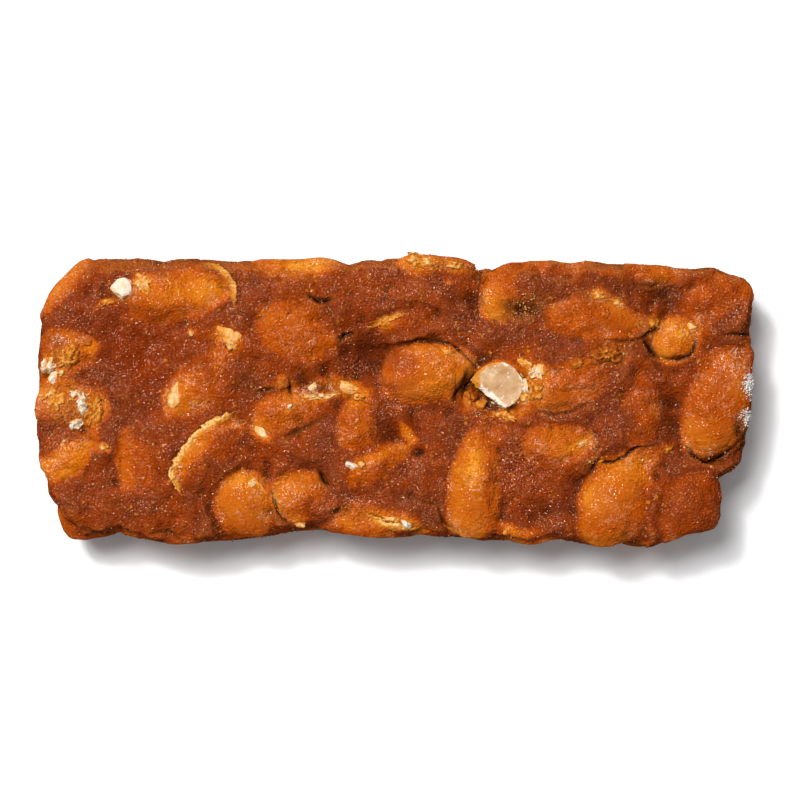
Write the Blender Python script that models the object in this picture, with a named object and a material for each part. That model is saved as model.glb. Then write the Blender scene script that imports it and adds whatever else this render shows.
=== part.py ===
"""Toasted nougat bar: whole roasted almonds set in a slab of dark caramelised sugar.

The bar lies flat. +X runs along it, +Y across it and +Z up, and the origin is
the middle of the face that it rests on. Places and sizes below are millimetres
and degrees, and MM turns them into metres.
"""

import math
import random
from collections import namedtuple

import bmesh
import bpy
from mathutils import Euler, Vector, noise

MM = 0.001

# The slab. Almonds bulge about a millimetre out of it on every side.
SLAB_LENGTH = 148.0
SLAB_WIDTH = 57.5
SLAB_THICKNESS = 15.0
CELL = 7.2  # spacing of the slab's faces along and across the bar
SIDE_LEVELS = ((0.0, 2.2), (2.2, 0.5), (7.5, 0.0), (12.2, 0.8))  # height, inset
TOP_INSET = 3.0  # inset of the rounded upper edge
WAVINESS = 0.5  # unevenness of the slab's sides and top
WAVE_SIZE = 9.0  # from one wave to the next
WAVE_SEED = 3
NEAR = 0.1  # closer than this is the same place

# How far each corner is cut off, seen from above, and how much more than a side
# the corner follows the inset.
CORNER_CUTS = {(-1, 1): 11.0, (1, 1): 5.5, (1, -1): 15.0, (-1, -1): 9.5}
CORNER_INSET = 1.5

# Almonds: their thickness as a share of their width, the shape of the two ends,
# and the facets round and along one that lies on top and one that lies low.
ALMOND_THICKNESS = 0.62
ROUND_END = 0.5
POINTED_END = 0.74
UPPER_FACETS = (8, 5)
LOWER_FACETS = (6, 5)

GAP = 0.3  # between an almond and the sugar that holds it
LEVEL_TOP = 15.6  # an almond whose top is at this height leaves the sugar level
CREEP = 0.75  # rise of the sugar over a higher almond, for each mm above that

Almond = namedtuple("Almond", "x y top length width yaw pitch roll", defaults=(0, 0))
Dent = namedtuple("Dent", "x y depth spread")
Finish = namedtuple("Finish", "colour roughness")

# The almonds that show from above: middle, height of the highest point, size, and
# heading from +X. Pitch lowers the pointed end and roll turns it about its length.
UPPER_ALMONDS = (
    # left third, back to front
    Almond(-68.6, 23.0, 15.6, 15.0, 9.0, 50, 0, 20),
    Almond(-44.6, 21.9, 17.8, 23.0, 10.0, 6),
    Almond(-67.3, 10.6, 17.2, 10.5, 7.5, -32),
    Almond(-21.0, 14.2, 18.0, 18.5, 14.5, -32),
    Almond(-40.4, 4.6, 17.4, 20.0, 10.0, 50),
    Almond(-67.0, -0.8, 17.4, 14.0, 9.0, -12),
    Almond(-54.0, -12.6, 17.2, 17.5, 9.6, 106),
    Almond(-67.0, -12.0, 17.0, 14.0, 8.6, 36),
    Almond(-37.6, -10.6, 17.6, 20.5, 11.0, 48, 0, 14),
    Almond(-64.9, -24.0, 13.4, 14.5, 9.6, -22),
    Almond(-54.2, -25.2, 14.2, 9.8, 7.0, -4),
    Almond(-43.6, -24.4, 15.8, 11.0, 8.0, 8),
    Almond(-31.0, -21.5, 18.0, 14.4, 11.4, -62),
    # middle third
    Almond(-20.4, 27.0, 15.6, 18.5, 7.5, 1),
    Almond(-23.2, -1.8, 17.6, 16.0, 9.0, 22),
    Almond(-19.6, -19.0, 17.8, 12.6, 9.0, 24),
    Almond(-8.4, -5.0, 17.4, 11.0, 8.4, 78),
    Almond(-4.4, -13.4, 17.2, 15.5, 6.4, 28),
    Almond(-6.0, -24.9, 16.0, 19.5, 7.6, -8),
    Almond(7.2, 6.3, 18.4, 20.0, 12.2, 8),
    Almond(4.6, 17.6, 16.2, 17.5, 8.6, 14),
    Almond(8.4, 27.2, 17.0, 15.5, 7.4, 0),
    Almond(7.6, -25.4, 15.0, 8.6, 7.0, 10),
    Almond(16.4, -17.0, 18.4, 23.5, 10.6, 84),
    Almond(22.4, 22.6, 17.4, 13.0, 8.6, 72),
    Almond(28.6, -26.6, 14.6, 12.5, 6.6, -8),
    # right third
    Almond(37.0, 3.3, 18.0, 21.0, 10.2, 20),
    Almond(42.4, 17.3, 17.8, 22.5, 10.4, -6),
    Almond(34.8, -8.6, 17.6, 17.5, 10.0, 4),
    Almond(33.4, 27.4, 15.8, 16.5, 7.0, 0),
    Almond(50.8, -0.6, 17.4, 17.5, 8.8, 88),
    Almond(54.8, 26.9, 15.8, 13.5, 6.6, -3),
    Almond(58.8, 12.6, 17.4, 11.0, 9.6, 30),
    Almond(66.6, 21.2, 17.2, 15.0, 11.4, 14),
    Almond(66.9, 0.6, 18.4, 25.0, 12.0, 75),
    Almond(46.6, -19.2, 18.4, 21.5, 13.6, 52),
    Almond(60.6, -20.2, 17.8, 18.0, 11.6, 52),
)

# One almond is split: its flat inner face lies open on top, leaning to the left.
SPLIT_ALMOND = Almond(21.4, 3.6, 17.0, 12.5, 10.0, 14, 4)
SPLIT_HEIGHT = 0.04  # of the flat face above the almond's middle, as a share of width

# A second layer shows low on the sides and from below, where the almonds were
# pressed flat against the table.
LOWER_SEED = 7
LOWER_LENGTH = (14.0, 20.0)
LOWER_WIDTH = (9.4, 11.2)
LOWER_OUT = 4.0  # from the slab's side in to the middle of an almond that bulges out
LOWER_FRONT = (-47.0, -20.0, 6.0, 31.0, 53.0)
LOWER_BACK = (-50.0, -24.0, 2.0, 27.0, 50.0)
LOWER_ENDS = ((-69.8, 9.0), (69.9, 8.0), (-68.5, -13.0), (65.8, -14.5))
LOWER_MIDDLE = ((-50.0, 3.0), (-33.0, -7.0), (-13.0, 3.0), (11.0, -6.0), (24.0, 9.0), (46.0, 1.0))
EDGE_SWING = 10.0  # how far one at the edge turns from the edge's own heading
MIDDLE_HEADING = 40.0
MIDDLE_SWING = 60.0
PRESSED = 0.8  # how much of an almond the table pressed flat

# Places where the slab's outline goes in, seen from above.
DENTS = (
    Dent(17.8, 29.0, 2.4, 3.0),
    Dent(-10.0, 29.0, 1.2, 2.5),
    Dent(-59.5, -28.5, 2.4, 2.8),
    Dent(-14.5, -28.5, 2.6, 7.0),
    Dent(35.0, -28.5, 1.6, 3.0),
    Dent(71.0, -16.5, 3.6, 3.5),
    Dent(74.0, 13.0, 1.4, 3.0),
)

# Hollows in the top, where two almonds leave a gap that the sugar doesn't fill.
HOLLOWS = (
    Dent(-7.5, 7.5, 3.2, 5.0),
    Dent(-52.0, 7.0, 1.4, 8.0),
    Dent(55.5, 22.0, 2.2, 3.4),
    Dent(2.0, -6.5, 2.4, 3.6),
    Dent(57.5, -2.0, 1.8, 3.5),
    Dent(26.0, -14.0, 1.2, 5.0),
    Dent(26.0, 16.0, 1.6, 3.5),
)

SUGAR = Finish((0.262, 0.056, 0.016, 1.0), 0.4)
ALMOND = Finish((0.584, 0.168, 0.018, 1.0), 0.5)
KERNEL = Finish((0.730, 0.520, 0.290, 1.0), 0.6)
SHARP_ANGLE = 60.0  # edges sharper than this stay sharp, the rest is shaded smooth


def clear_scene():
    for obj in list(bpy.data.objects):
        bpy.data.objects.remove(obj)


def make_collection(name):
    collection = bpy.data.collections.new(name)
    bpy.context.scene.collection.children.link(collection)
    return collection


def make_material(name, finish):
    material = bpy.data.materials.new(name)
    material.use_nodes = True
    shader = material.node_tree.nodes["Principled BSDF"]
    shader.inputs["Base Color"].default_value = finish.colour
    shader.inputs["Roughness"].default_value = finish.roughness
    shader.inputs["Metallic"].default_value = 0.0
    return material


def make_object(name, bm, collection, material=None):
    """A mesh object from bm, which it frees."""
    mesh = bpy.data.meshes.new(name)
    bm.to_mesh(mesh)
    bm.free()
    mesh.shade_smooth()
    mesh.set_sharp_from_angle(angle=math.radians(SHARP_ANGLE))
    obj = bpy.data.objects.new(name, mesh)
    collection.objects.link(obj)
    if material:
        mesh.materials.append(material)
    return obj


def falling_off(distance_squared, spread):
    """1 in the middle of a dent, falling to 0 away from it."""
    return math.exp(-distance_squared / (2 * spread**2))


# --- almonds ---------------------------------------------------------------


def almond_radius(along):
    """Share of the greatest radius at along, from -1 at the round end to 1 at the tip."""
    widest = (ROUND_END - POINTED_END) / (ROUND_END + POINTED_END)
    greatest = (1 + widest) ** ROUND_END * (1 - widest) ** POINTED_END
    return (1 + along) ** ROUND_END * (1 - along) ** POINTED_END / greatest


def almond_shape(almond, facets):
    """A flattened drop along X, its tip at +X, in metres, as a bmesh."""
    sides, rings = facets
    bm = bmesh.new()
    bmesh.ops.create_uvsphere(bm, u_segments=sides, v_segments=rings, radius=1.0)
    half_length = almond.length / 2 * MM
    half_width = almond.width / 2 * MM
    half_thickness = half_width * ALMOND_THICKNESS
    for vert in bm.verts:
        along = max(-1.0, min(1.0, vert.co.z))
        across, up = vert.co.xy.normalized() * almond_radius(along)
        vert.co = Vector((along * half_length, across * half_width, up * half_thickness))
    return bm


def place(obj, almond, on_table=False):
    """Puts obj at the almond's place, its highest point at top, or its lowest at 0."""
    obj.rotation_euler = Euler([math.radians(a) for a in (almond.roll, almond.pitch, almond.yaw)])
    matrix = obj.rotation_euler.to_matrix()
    heights = [(matrix @ vert.co).z for vert in obj.data.vertices]
    middle = -min(heights) if on_table else almond.top * MM - max(heights)
    obj.location = (almond.x * MM, almond.y * MM, middle)


def cut_flat(bm, height, keep_below):
    """Cuts the shape by a level plane and closes the cut with one flat face."""
    cut = bmesh.ops.bisect_plane(
        bm,
        geom=bm.verts[:] + bm.edges[:] + bm.faces[:],
        plane_co=(0, 0, height),
        plane_no=(0, 0, 1 if keep_below else -1),
        clear_outer=True,
    )
    rim = [e for e in cut["geom_cut"] if isinstance(e, bmesh.types.BMEdge)]
    bmesh.ops.contextual_create(bm, geom=rim)
    bmesh.ops.recalc_face_normals(bm, faces=bm.faces)


def make_cutter(obj, collection):
    """The almond grown by the gap, which leaves its bed in the sugar."""
    bm = bmesh.new()
    bm.from_mesh(obj.data)
    bm.normal_update()
    for vert in bm.verts:
        vert.co += vert.normal * GAP * MM
    cutter = make_object(obj.name + "_bed", bm, collection)
    cutter.location = obj.location
    cutter.rotation_euler = obj.rotation_euler
    cutter.hide_render = True
    cutter.display_type = "WIRE"


def lower_almonds():
    """The second layer: sizes and headings vary, the places are the ones above."""
    rng = random.Random(LOWER_SEED)
    side = SLAB_WIDTH / 2 - LOWER_OUT

    def one(x, y, heading, swing):
        length = rng.uniform(*LOWER_LENGTH)
        width = rng.uniform(*LOWER_WIDTH)
        yaw = heading + rng.uniform(-swing, swing)
        return Almond(x, y, 0.0, length, width, yaw)

    front = [one(x, -side, 0, EDGE_SWING) for x in LOWER_FRONT]
    back = [one(x, side, 180, EDGE_SWING) for x in LOWER_BACK]
    ends = [one(x, y, 90, EDGE_SWING) for x, y in LOWER_ENDS]
    middle = [one(x, y, MIDDLE_HEADING, MIDDLE_SWING) for x, y in LOWER_MIDDLE]
    return front + back + ends + middle


def make_upper_almond(name, almond, collection, material):
    obj = make_object(name, almond_shape(almond, UPPER_FACETS), collection, material)
    place(obj, almond)
    return obj


def make_lower_almond(name, almond, collection, material):
    bm = almond_shape(almond, LOWER_FACETS)
    underside = almond.width * ALMOND_THICKNESS / 2
    cut_flat(bm, (PRESSED - underside) * MM, keep_below=False)
    obj = make_object(name, bm, collection, material)
    place(obj, almond, on_table=True)
    return obj


def make_split_almond(name, almond, collection, material):
    bm = almond_shape(almond, UPPER_FACETS)
    cut_flat(bm, almond.width * SPLIT_HEIGHT * MM, keep_below=True)
    obj = make_object(name, bm, collection, material)
    place(obj, almond)
    return obj


def make_almonds(collection):
    skin = make_material("almond", ALMOND)
    kernel = make_material("almond_kernel", KERNEL)
    made = [make_split_almond("almond_split", SPLIT_ALMOND, collection, kernel)]
    for number, almond in enumerate(UPPER_ALMONDS, 1):
        made.append(make_upper_almond(f"almond_{number:02d}", almond, collection, skin))
    for number, almond in enumerate(lower_almonds(), 1):
        made.append(make_lower_almond(f"almond_low_{number:02d}", almond, collection, skin))
    return made


# --- the sugar slab --------------------------------------------------------


def sliced_box():
    """A box in millimetres on z = 0, cut into cells along, across and up."""
    bm = bmesh.new()
    bmesh.ops.create_cube(bm, size=1.0)
    for vert in bm.verts:
        x, y, z = vert.co
        vert.co = (x * SLAB_LENGTH, y * SLAB_WIDTH, (z + 0.5) * SLAB_THICKNESS)

    def slice_at(point, normal):
        geometry = bm.verts[:] + bm.edges[:] + bm.faces[:]
        bmesh.ops.bisect_plane(bm, geom=geometry, plane_co=point, plane_no=normal)

    along, across = round(SLAB_LENGTH / CELL), round(SLAB_WIDTH / CELL)
    for i in range(1, along):
        slice_at(((i / along - 0.5) * SLAB_LENGTH, 0, 0), (1, 0, 0))
    for i in range(1, across):
        slice_at((0, (i / across - 0.5) * SLAB_WIDTH, 0), (0, 1, 0))
    for height, _ in SIDE_LEVELS[1:]:
        slice_at((0, 0, height), (0, 0, 1))
    return bm


def inset_at(height):
    """How far the side stands in at this height."""
    if height > SLAB_THICKNESS - NEAR:
        return TOP_INSET
    return min(SIDE_LEVELS, key=lambda level: abs(level[0] - height))[1]


def outline_place(x, y, height):
    """Moves a point of the box in to the bar's outline, seen from above."""
    inset = inset_at(height)
    x *= 1 - 2 * inset / SLAB_LENGTH
    y *= 1 - 2 * inset / SLAB_WIDTH
    corner = (1 if x > 0 else -1, 1 if y > 0 else -1)
    reach = (SLAB_LENGTH + SLAB_WIDTH) / 2 - CORNER_INSET * inset - CORNER_CUTS[corner]
    excess = max(0.0, abs(x) + abs(y) - reach)
    x -= corner[0] * excess / 2
    y -= corner[1] * excess / 2
    for dent in DENTS:
        distance_squared = (x - dent.x) ** 2 + (y - dent.y) ** 2
        amount = dent.depth * falling_off(distance_squared, dent.spread)
        if SLAB_WIDTH / 2 - abs(dent.y) < SLAB_LENGTH / 2 - abs(dent.x):
            y -= math.copysign(amount, dent.y)
        else:
            x -= math.copysign(amount, dent.x)
    return x, y


def almond_closeness(almond, x, y):
    """1 over the almond's middle, falling to 0 away from it."""
    yaw = math.radians(almond.yaw)
    dx, dy = x - almond.x, y - almond.y
    along = (dx * math.cos(yaw) + dy * math.sin(yaw)) / (almond.length / 2)
    across = (dy * math.cos(yaw) - dx * math.sin(yaw)) / (almond.width / 2)
    return math.exp(-(along**2 + across**2))


def top_relief(x, y):
    """Height of the sugar's top above the plain slab: it creeps up the almonds."""
    climb = max(almond_closeness(a, x, y) * (a.top - LEVEL_TOP) for a in UPPER_ALMONDS)
    sunk = sum(
        h.depth * falling_off((x - h.x) ** 2 + (y - h.y) ** 2, h.spread) for h in HOLLOWS
    )
    return CREEP * climb - sunk


def shape_slab(bm):
    """Turns the box into the uneven slab, in metres."""
    noise.seed_set(WAVE_SEED)
    for vert in bm.verts:
        x, y, z = vert.co
        on_side = abs(x) > SLAB_LENGTH / 2 - NEAR or abs(y) > SLAB_WIDTH / 2 - NEAR
        on_top = z > SLAB_THICKNESS - NEAR
        x, y = outline_place(x, y, z)
        wave = noise.noise_vector(Vector((x, y, z)) / WAVE_SIZE) * WAVINESS
        if on_side:
            x, y = x + wave.x, y + wave.y
        if on_top:
            z += top_relief(x, y) + wave.z
        vert.co = Vector((x, y, z)) * MM


def make_sugar(collection, cutters):
    """The slab of caramelised sugar, with a bed for each almond."""
    bm = sliced_box()
    shape_slab(bm)
    underside = [f for f in bm.faces if all(abs(v.co.z) < NEAR * MM for v in f.verts)]
    base = set(bmesh.ops.dissolve_faces(bm, faces=underside)["region"])
    bmesh.ops.triangulate(bm, faces=[f for f in bm.faces if f not in base])
    sugar = make_object("sugar", bm, collection, make_material("sugar", SUGAR))
    beds = sugar.modifiers.new("almond_beds", "BOOLEAN")
    beds.operation = "DIFFERENCE"
    beds.operand_type = "COLLECTION"
    beds.collection = cutters
    beds.solver = "EXACT"
    return sugar


def centre(objects, collection):
    """A parent empty that puts the middle of the objects' box over the origin."""
    bpy.context.view_layer.update()
    corners = [obj.matrix_world @ vert.co for obj in objects for vert in obj.data.vertices]
    middle = [(min(c[i] for c in corners) + max(c[i] for c in corners)) / 2 for i in (0, 1)]
    bar = bpy.data.objects.new("bar", None)
    bar.location = (-middle[0], -middle[1], 0)
    collection.objects.link(bar)
    return bar


def main():
    clear_scene()
    parts = make_collection("toasted_nougat")
    cutters = make_collection("almond_beds")
    almonds = make_almonds(parts)
    for almond in almonds:
        make_cutter(almond, cutters)
    sugar = make_sugar(parts, cutters)
    bar = centre([sugar, *almonds], parts)
    for obj in [sugar, *almonds, *cutters.objects]:
        obj.parent = bar


main()
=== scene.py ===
"""Toasted nougat bar: the looks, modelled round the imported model.

+X runs along the bar, +Y across it and +Z up from the table. Lengths are
millimetres and angles degrees unless a name says otherwise; MM turns them into
metres, which is what the meshes hold.
"""

import math
import random
from collections import namedtuple

import bmesh
import bpy
import numpy as np
from mathutils import Euler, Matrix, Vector, noise
from mathutils.bvhtree import BVHTree


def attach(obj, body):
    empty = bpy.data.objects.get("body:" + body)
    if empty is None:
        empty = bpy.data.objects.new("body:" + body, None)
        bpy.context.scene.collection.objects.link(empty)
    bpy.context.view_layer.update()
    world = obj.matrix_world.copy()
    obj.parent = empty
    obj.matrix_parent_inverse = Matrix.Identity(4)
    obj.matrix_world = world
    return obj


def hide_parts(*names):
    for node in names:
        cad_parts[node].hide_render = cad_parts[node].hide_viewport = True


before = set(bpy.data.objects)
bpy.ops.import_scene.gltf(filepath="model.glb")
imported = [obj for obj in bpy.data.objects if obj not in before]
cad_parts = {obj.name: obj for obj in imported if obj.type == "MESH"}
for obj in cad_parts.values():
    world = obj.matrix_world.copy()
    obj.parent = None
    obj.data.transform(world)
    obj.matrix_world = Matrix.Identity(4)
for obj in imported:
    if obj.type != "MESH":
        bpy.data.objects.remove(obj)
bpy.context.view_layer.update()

MM = 0.001

# --- what the photograph shows --------------------------------------------------

# Sugar over each almond: how thick it is over the middle (below 0 the almond
# stands bare), how much thinner it gets towards the side that heading points to,
# and the colour that shines through, from 0 for red to 1 for yellow.
Cover = namedtuple("Cover", "film lean heading tone")
COVERS = {
    "almond_01": Cover(0.30, 0.45, 140, 0.15),
    "almond_02": Cover(0.20, 0.50, 20, 0.75),
    "almond_03": Cover(0.30, 0.30, 30, 0.60),
    "almond_04": Cover(0.30, 0.15, 170, 0.40),
    "almond_05": Cover(0.30, 0.35, 200, 0.45),
    "almond_06": Cover(0.10, 0.30, 90, 0.80),
    "almond_07": Cover(0.25, 0.35, 190, 0.30),
    "almond_08": Cover(0.35, 0.45, 225, 0.95),
    "almond_09": Cover(0.95, 1.20, 138, 0.90),
    "almond_10": Cover(0.55, 0.65, 190, 0.60),
    "almond_11": Cover(0.60, 0.25, 45, 0.30),
    "almond_12": Cover(0.60, 0.15, 270, 0.30),
    "almond_13": Cover(-0.15, 0.15, 200, 0.50),
    "almond_14": Cover(0.20, 0.35, 40, 1.00),
    "almond_15": Cover(0.40, 0.30, 180, 0.45),
    "almond_16": Cover(0.15, 0.45, 150, 0.65),
    "almond_17": Cover(0.50, 0.15, 0, 0.35),
    "almond_18": Cover(0.35, 0.80, 115, 0.80),
    "almond_19": Cover(0.25, 0.30, 0, 0.45),
    "almond_20": Cover(-0.05, 0.30, 150, 0.55),
    "almond_21": Cover(1.00, 0.30, 200, 0.40),
    "almond_22": Cover(0.40, 0.30, 120, 0.60),
    "almond_23": Cover(0.70, 0.20, 0, 0.50),
    "almond_24": Cover(0.05, 0.25, 260, 0.85),
    "almond_25": Cover(0.35, 0.65, 190, 0.70),
    "almond_26": Cover(0.45, 0.75, 170, 0.95),
    "almond_27": Cover(0.35, 0.40, 175, 0.50),
    "almond_28": Cover(0.25, 0.20, 60, 0.40),
    "almond_29": Cover(0.35, 0.25, 10, 0.30),
    "almond_30": Cover(0.60, 0.20, 90, 0.35),
    "almond_31": Cover(0.55, 0.20, 90, 0.20),
    "almond_32": Cover(0.45, 0.25, 90, 0.55),
    "almond_33": Cover(0.00, 0.25, 60, 0.90),
    "almond_34": Cover(0.45, 0.20, 60, 0.05),
    "almond_35": Cover(0.10, 0.35, 250, 0.35),
    "almond_36": Cover(0.00, 0.30, 150, 0.75),
    "almond_37": Cover(0.60, 0.35, 220, 0.20),
    "almond_split": Cover(-0.40, 0.00, 0, 0.90),
}
LOWER_FILMS = (0.0, 0.7)  # the second layer isn't seen, so it varies at random
LOWER_LEAN = 0.3
LOWER_TONES = (0.15, 0.8)

# Sugar lit from within by the almond under it: film and tone as above. The higher
# edge is, the more sharply the glow ends.
Glow = namedtuple("Glow", "x y length width heading edge film tone")
GLOWS = (
    Glow(-69.7, 24.1, 13.9, 6.3, 48, 1.3, -0.10, 0.40),
    Glow(-44.9, 20.7, 24.4, 8.8, 15, 1.3, 0.18, 0.62),
    Glow(-39.6, 22.2, 13.9, 6.3, 12, 1.3, -0.22, 0.90),
    Glow(-21.8, 27.4, 24.4, 5.5, 0, 0.8, 0.40, 0.65),
    Glow(-18.4, 27.6, 13.9, 3.6, 0, 1.3, -0.35, 1.00),
    Glow(-19.3, 14.4, 18.1, 14.3, -40, 1.5, 0.34, 0.48),
    Glow(-25.8, 17.3, 4.2, 3.4, 0, 0.8, 0.20, 0.90),
    Glow(-13.4, 11.9, 3.8, 2.9, 0, 0.8, 0.25, 0.80),
    Glow(-67.6, 9.8, 13.0, 7.6, 0, 1.3, 0.76, 0.40),
    Glow(-63.2, 11.3, 3.8, 3.4, 0, 1.3, 0.10, 0.60),
    Glow(-57.9, 8.7, 1.9, 1.7, 0, 0.8, 0.40, 0.90),
    Glow(-51.2, 6.0, 13.0, 7.6, 10, 0.8, 0.65, 0.20),
    Glow(-66.9, 1.0, 13.0, 7.1, 0, 0.8, 0.20, 0.60),
    Glow(-38.6, 1.4, 13.9, 11.8, 45, 0.8, 0.40, 0.45),
    Glow(-44.1, -2.0, 8.8, 3.1, 15, 0.8, 0.00, 0.80),
    Glow(-66.7, -11.4, 11.3, 6.3, 38, 1.3, -0.10, 0.95),
    Glow(-52.5, -14.2, 13.4, 9.7, -83, 1.3, 0.52, 0.35),
    Glow(-55.8, -15.0, 12.6, 3.8, -80, 1.7, 0.20, 0.60),
    Glow(-42.2, -11.2, 17.6, 3.6, 52, 1.3, 0.00, 0.80),
    Glow(-69.0, -25.5, 7.6, 2.9, -60, 0.8, 0.15, 0.60),
    Glow(-64.6, -25.7, 10.5, 6.3, 0, 0.8, 0.65, 0.25),
    Glow(-20.5, -3.0, 13.0, 7.6, 20, 1.3, 0.35, 0.60),
    Glow(-21.8, -0.7, 6.7, 3.4, 0, 0.8, 0.10, 0.80),
    Glow(-7.7, -6.6, 7.1, 9.2, 0, 1.3, 0.30, 0.35),
    Glow(-31.0, -22.3, 12.6, 13.4, 0, 1.7, 0.05, 0.50),
    Glow(-31.7, -17.5, 8.8, 4.2, 0, 0.8, -0.25, 0.75),
    Glow(-21.6, -17.7, 7.6, 6.3, 30, 0.8, -0.10, 0.80),
    Glow(-16.8, -22.3, 8.4, 5.0, 0, 0.8, 0.85, 0.40),
    Glow(-4.6, -23.8, 19.3, 5.5, -12, 0.8, 0.16, 0.62),
    Glow(1.7, -25.9, 12.2, 2.3, -12, 0.8, -0.40, 1.00),
    Glow(8.9, 6.0, 16.4, 10.9, 10, 1.7, 0.02, 0.66),
    Glow(7.6, 2.9, 13.0, 4.2, 0, 0.8, -0.10, 0.75),
    Glow(20.6, 20.9, 8.8, 5.5, 80, 1.3, -0.05, 0.75),
    Glow(24.0, 26.0, 11.3, 4.2, 15, 0.8, 0.45, 0.40),
    Glow(5.5, 28.5, 9.7, 2.9, 0, 0.8, -0.20, 0.80),
    Glow(2.8, 15.5, 6.7, 4.2, 0, 0.8, 0.60, 0.60),
    Glow(11.4, 24.1, 2.9, 1.5, 0, 0.8, 0.00, 0.80),
    Glow(17.1, -18.8, 21.8, 9.2, 82, 1.5, 0.18, 0.58),
    Glow(20.6, -8.3, 7.6, 7.1, 75, 1.3, 0.65, 0.25),
    Glow(16.8, -14.2, 10.1, 6.3, 75, 0.8, -0.40, 1.00),
    Glow(34.1, -10.0, 15.1, 8.0, -15, 1.3, 0.06, 0.48),
    Glow(37.8, -9.5, 4.0, 1.9, 10, 0.8, -0.40, 1.00),
    Glow(27.8, -28.2, 10.9, 3.8, 0, 0.8, 0.40, 0.60),
    Glow(24.8, -27.4, 5.5, 2.9, -25, 0.8, -0.15, 0.95),
    Glow(47.9, -17.1, 16.4, 11.3, 35, 1.3, 0.08, 0.90),
    Glow(50.4, -13.3, 9.7, 4.6, 25, 0.8, -0.30, 0.90),
    Glow(58.4, -21.3, 17.2, 10.5, 0, 0.8, 0.76, 0.25),
    Glow(52.1, -29.9, 10.5, 1.9, 0, 0.8, 0.40, 0.50),
    Glow(66.6, 0.1, 10.5, 23.5, 6, 1.7, 0.38, 0.42),
    Glow(64.1, -8.7, 8.4, 5.5, 20, 0.8, 0.00, 0.65),
    Glow(58.8, 12.9, 10.9, 9.2, 0, 1.3, 0.10, 0.85),
    Glow(59.9, 14.2, 7.1, 4.2, 10, 0.8, -0.50, 1.00),
    Glow(43.3, 16.7, 19.7, 9.2, -18, 1.3, 0.44, 0.50),
    Glow(26.5, 9.6, 6.7, 2.5, 0, 0.8, 0.45, 0.30),
    Glow(50.4, -0.3, 6.7, 6.7, 0, 0.8, 0.50, 0.50),
    Glow(55.1, 25.7, 10.5, 3.4, 0, 1.3, 0.20, 0.90),
    Glow(73.8, 22.8, 4.2, 5.0, 0, 0.8, 0.40, 0.50),
    Glow(33.4, 2.2, 19.3, 8.4, -8, 1.3, 0.40, 0.60),
    Glow(3.2, -7.2, 7.1, 2.7, -63, 1.3, -0.05, 0.90),
    Glow(-2.3, -11.6, 11.8, 2.5, 19, 1.2, 0.05, 0.85),
    Glow(-14.2, 3.1, 6.3, 3.8, 15, 0.8, 0.55, 0.50),
    Glow(43.3, 26.2, 19.3, 3.8, 0, 0.8, 0.55, 0.50),
    Glow(65.1, 25.3, 9.2, 3.8, 0, 0.8, 0.60, 0.45),
    Glow(26.1, -2.8, 7.1, 2.9, 0, 0.9, 0.15, 0.85),
    Glow(-48.0, 17.8, 19.3, 3.8, 4, 0.8, 0.55, 0.40),
    Glow(-45.7, -22.6, 10.9, 5.5, 0, 0.8, 0.70, 0.30),
    Glow(29.2, 14.4, 13.9, 2.9, 0, 0.8, 0.70, 0.60),
    Glow(19.6, 4.1, 5.5, 4.2, 30, 1.0, 0.00, 0.90),
    Glow(-0.4, 2.6, 6.3, 6.3, 0, 0.8, 0.50, 0.20),
    Glow(-2.5, 22.6, 11.3, 5.9, 0, 1.3, 0.65, 0.35),
    Glow(-30.6, -27.6, 12.2, 4.6, 0, 1.3, 0.32, 0.40),
    Glow(20.2, -18.4, 14.7, 3.1, 80, 1.3, 0.38, 0.40),
    Glow(44.6, -25.9, 13.4, 5.0, 15, 1.3, 0.36, 0.45),
    Glow(0.7, 8.1, 8.4, 7.1, -30, 1.5, 0.68, 0.25),
    Glow(32.2, -13.5, 8.8, 2.5, -12, 1.0, 0.52, 0.12),
)

# A region of the surface: its middle, its reach along and across, and its heading.
Patch = namedtuple("Patch", "x y length width heading strength")
WET = (  # smooth, glassy, dark sugar
    Patch(-53.0, 10.0, 34.0, 17.0, -35, 1.0),
    Patch(26.0, -15.0, 7.0, 14.0, 20, 0.4),
    Patch(-8.0, 9.0, 13.0, 13.0, 40, 0.4),
    Patch(2.0, -6.0, 12.0, 8.0, 0, 0.7),
    Patch(-2.0, -9.0, 24.0, 6.0, 10, 0.3),
)
SANDY = (  # a dull crust of ochre crumbs
    Patch(27.5, 18.5, 12.0, 6.0, 20, 1.0),
    Patch(45.0, 9.0, 9.0, 5.0, 10, 1.0),
    Patch(53.0, 15.0, 6.0, 5.0, 0, 0.9),
    Patch(-67.5, -1.0, 15.0, 10.0, -20, 0.9),
    Patch(-69.0, 9.0, 7.0, 9.0, 0, 0.8),
    Patch(-56.0, 22.0, 9.0, 6.0, -10, 0.8),
    Patch(43.0, 21.0, 18.0, 5.0, -8, 0.6),
    Patch(11.0, 27.5, 12.0, 3.0, 0, 0.8),
    Patch(-26.0, -24.0, 12.0, 6.0, 0, 0.6),
    Patch(65.0, -12.0, 10.0, 4.0, 0, 0.6),
    Patch(41.0, -13.0, 8.0, 3.0, 30, 0.7),
    Patch(-30.0, 4.0, 12.0, 8.0, 0, 0.4),
)
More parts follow.
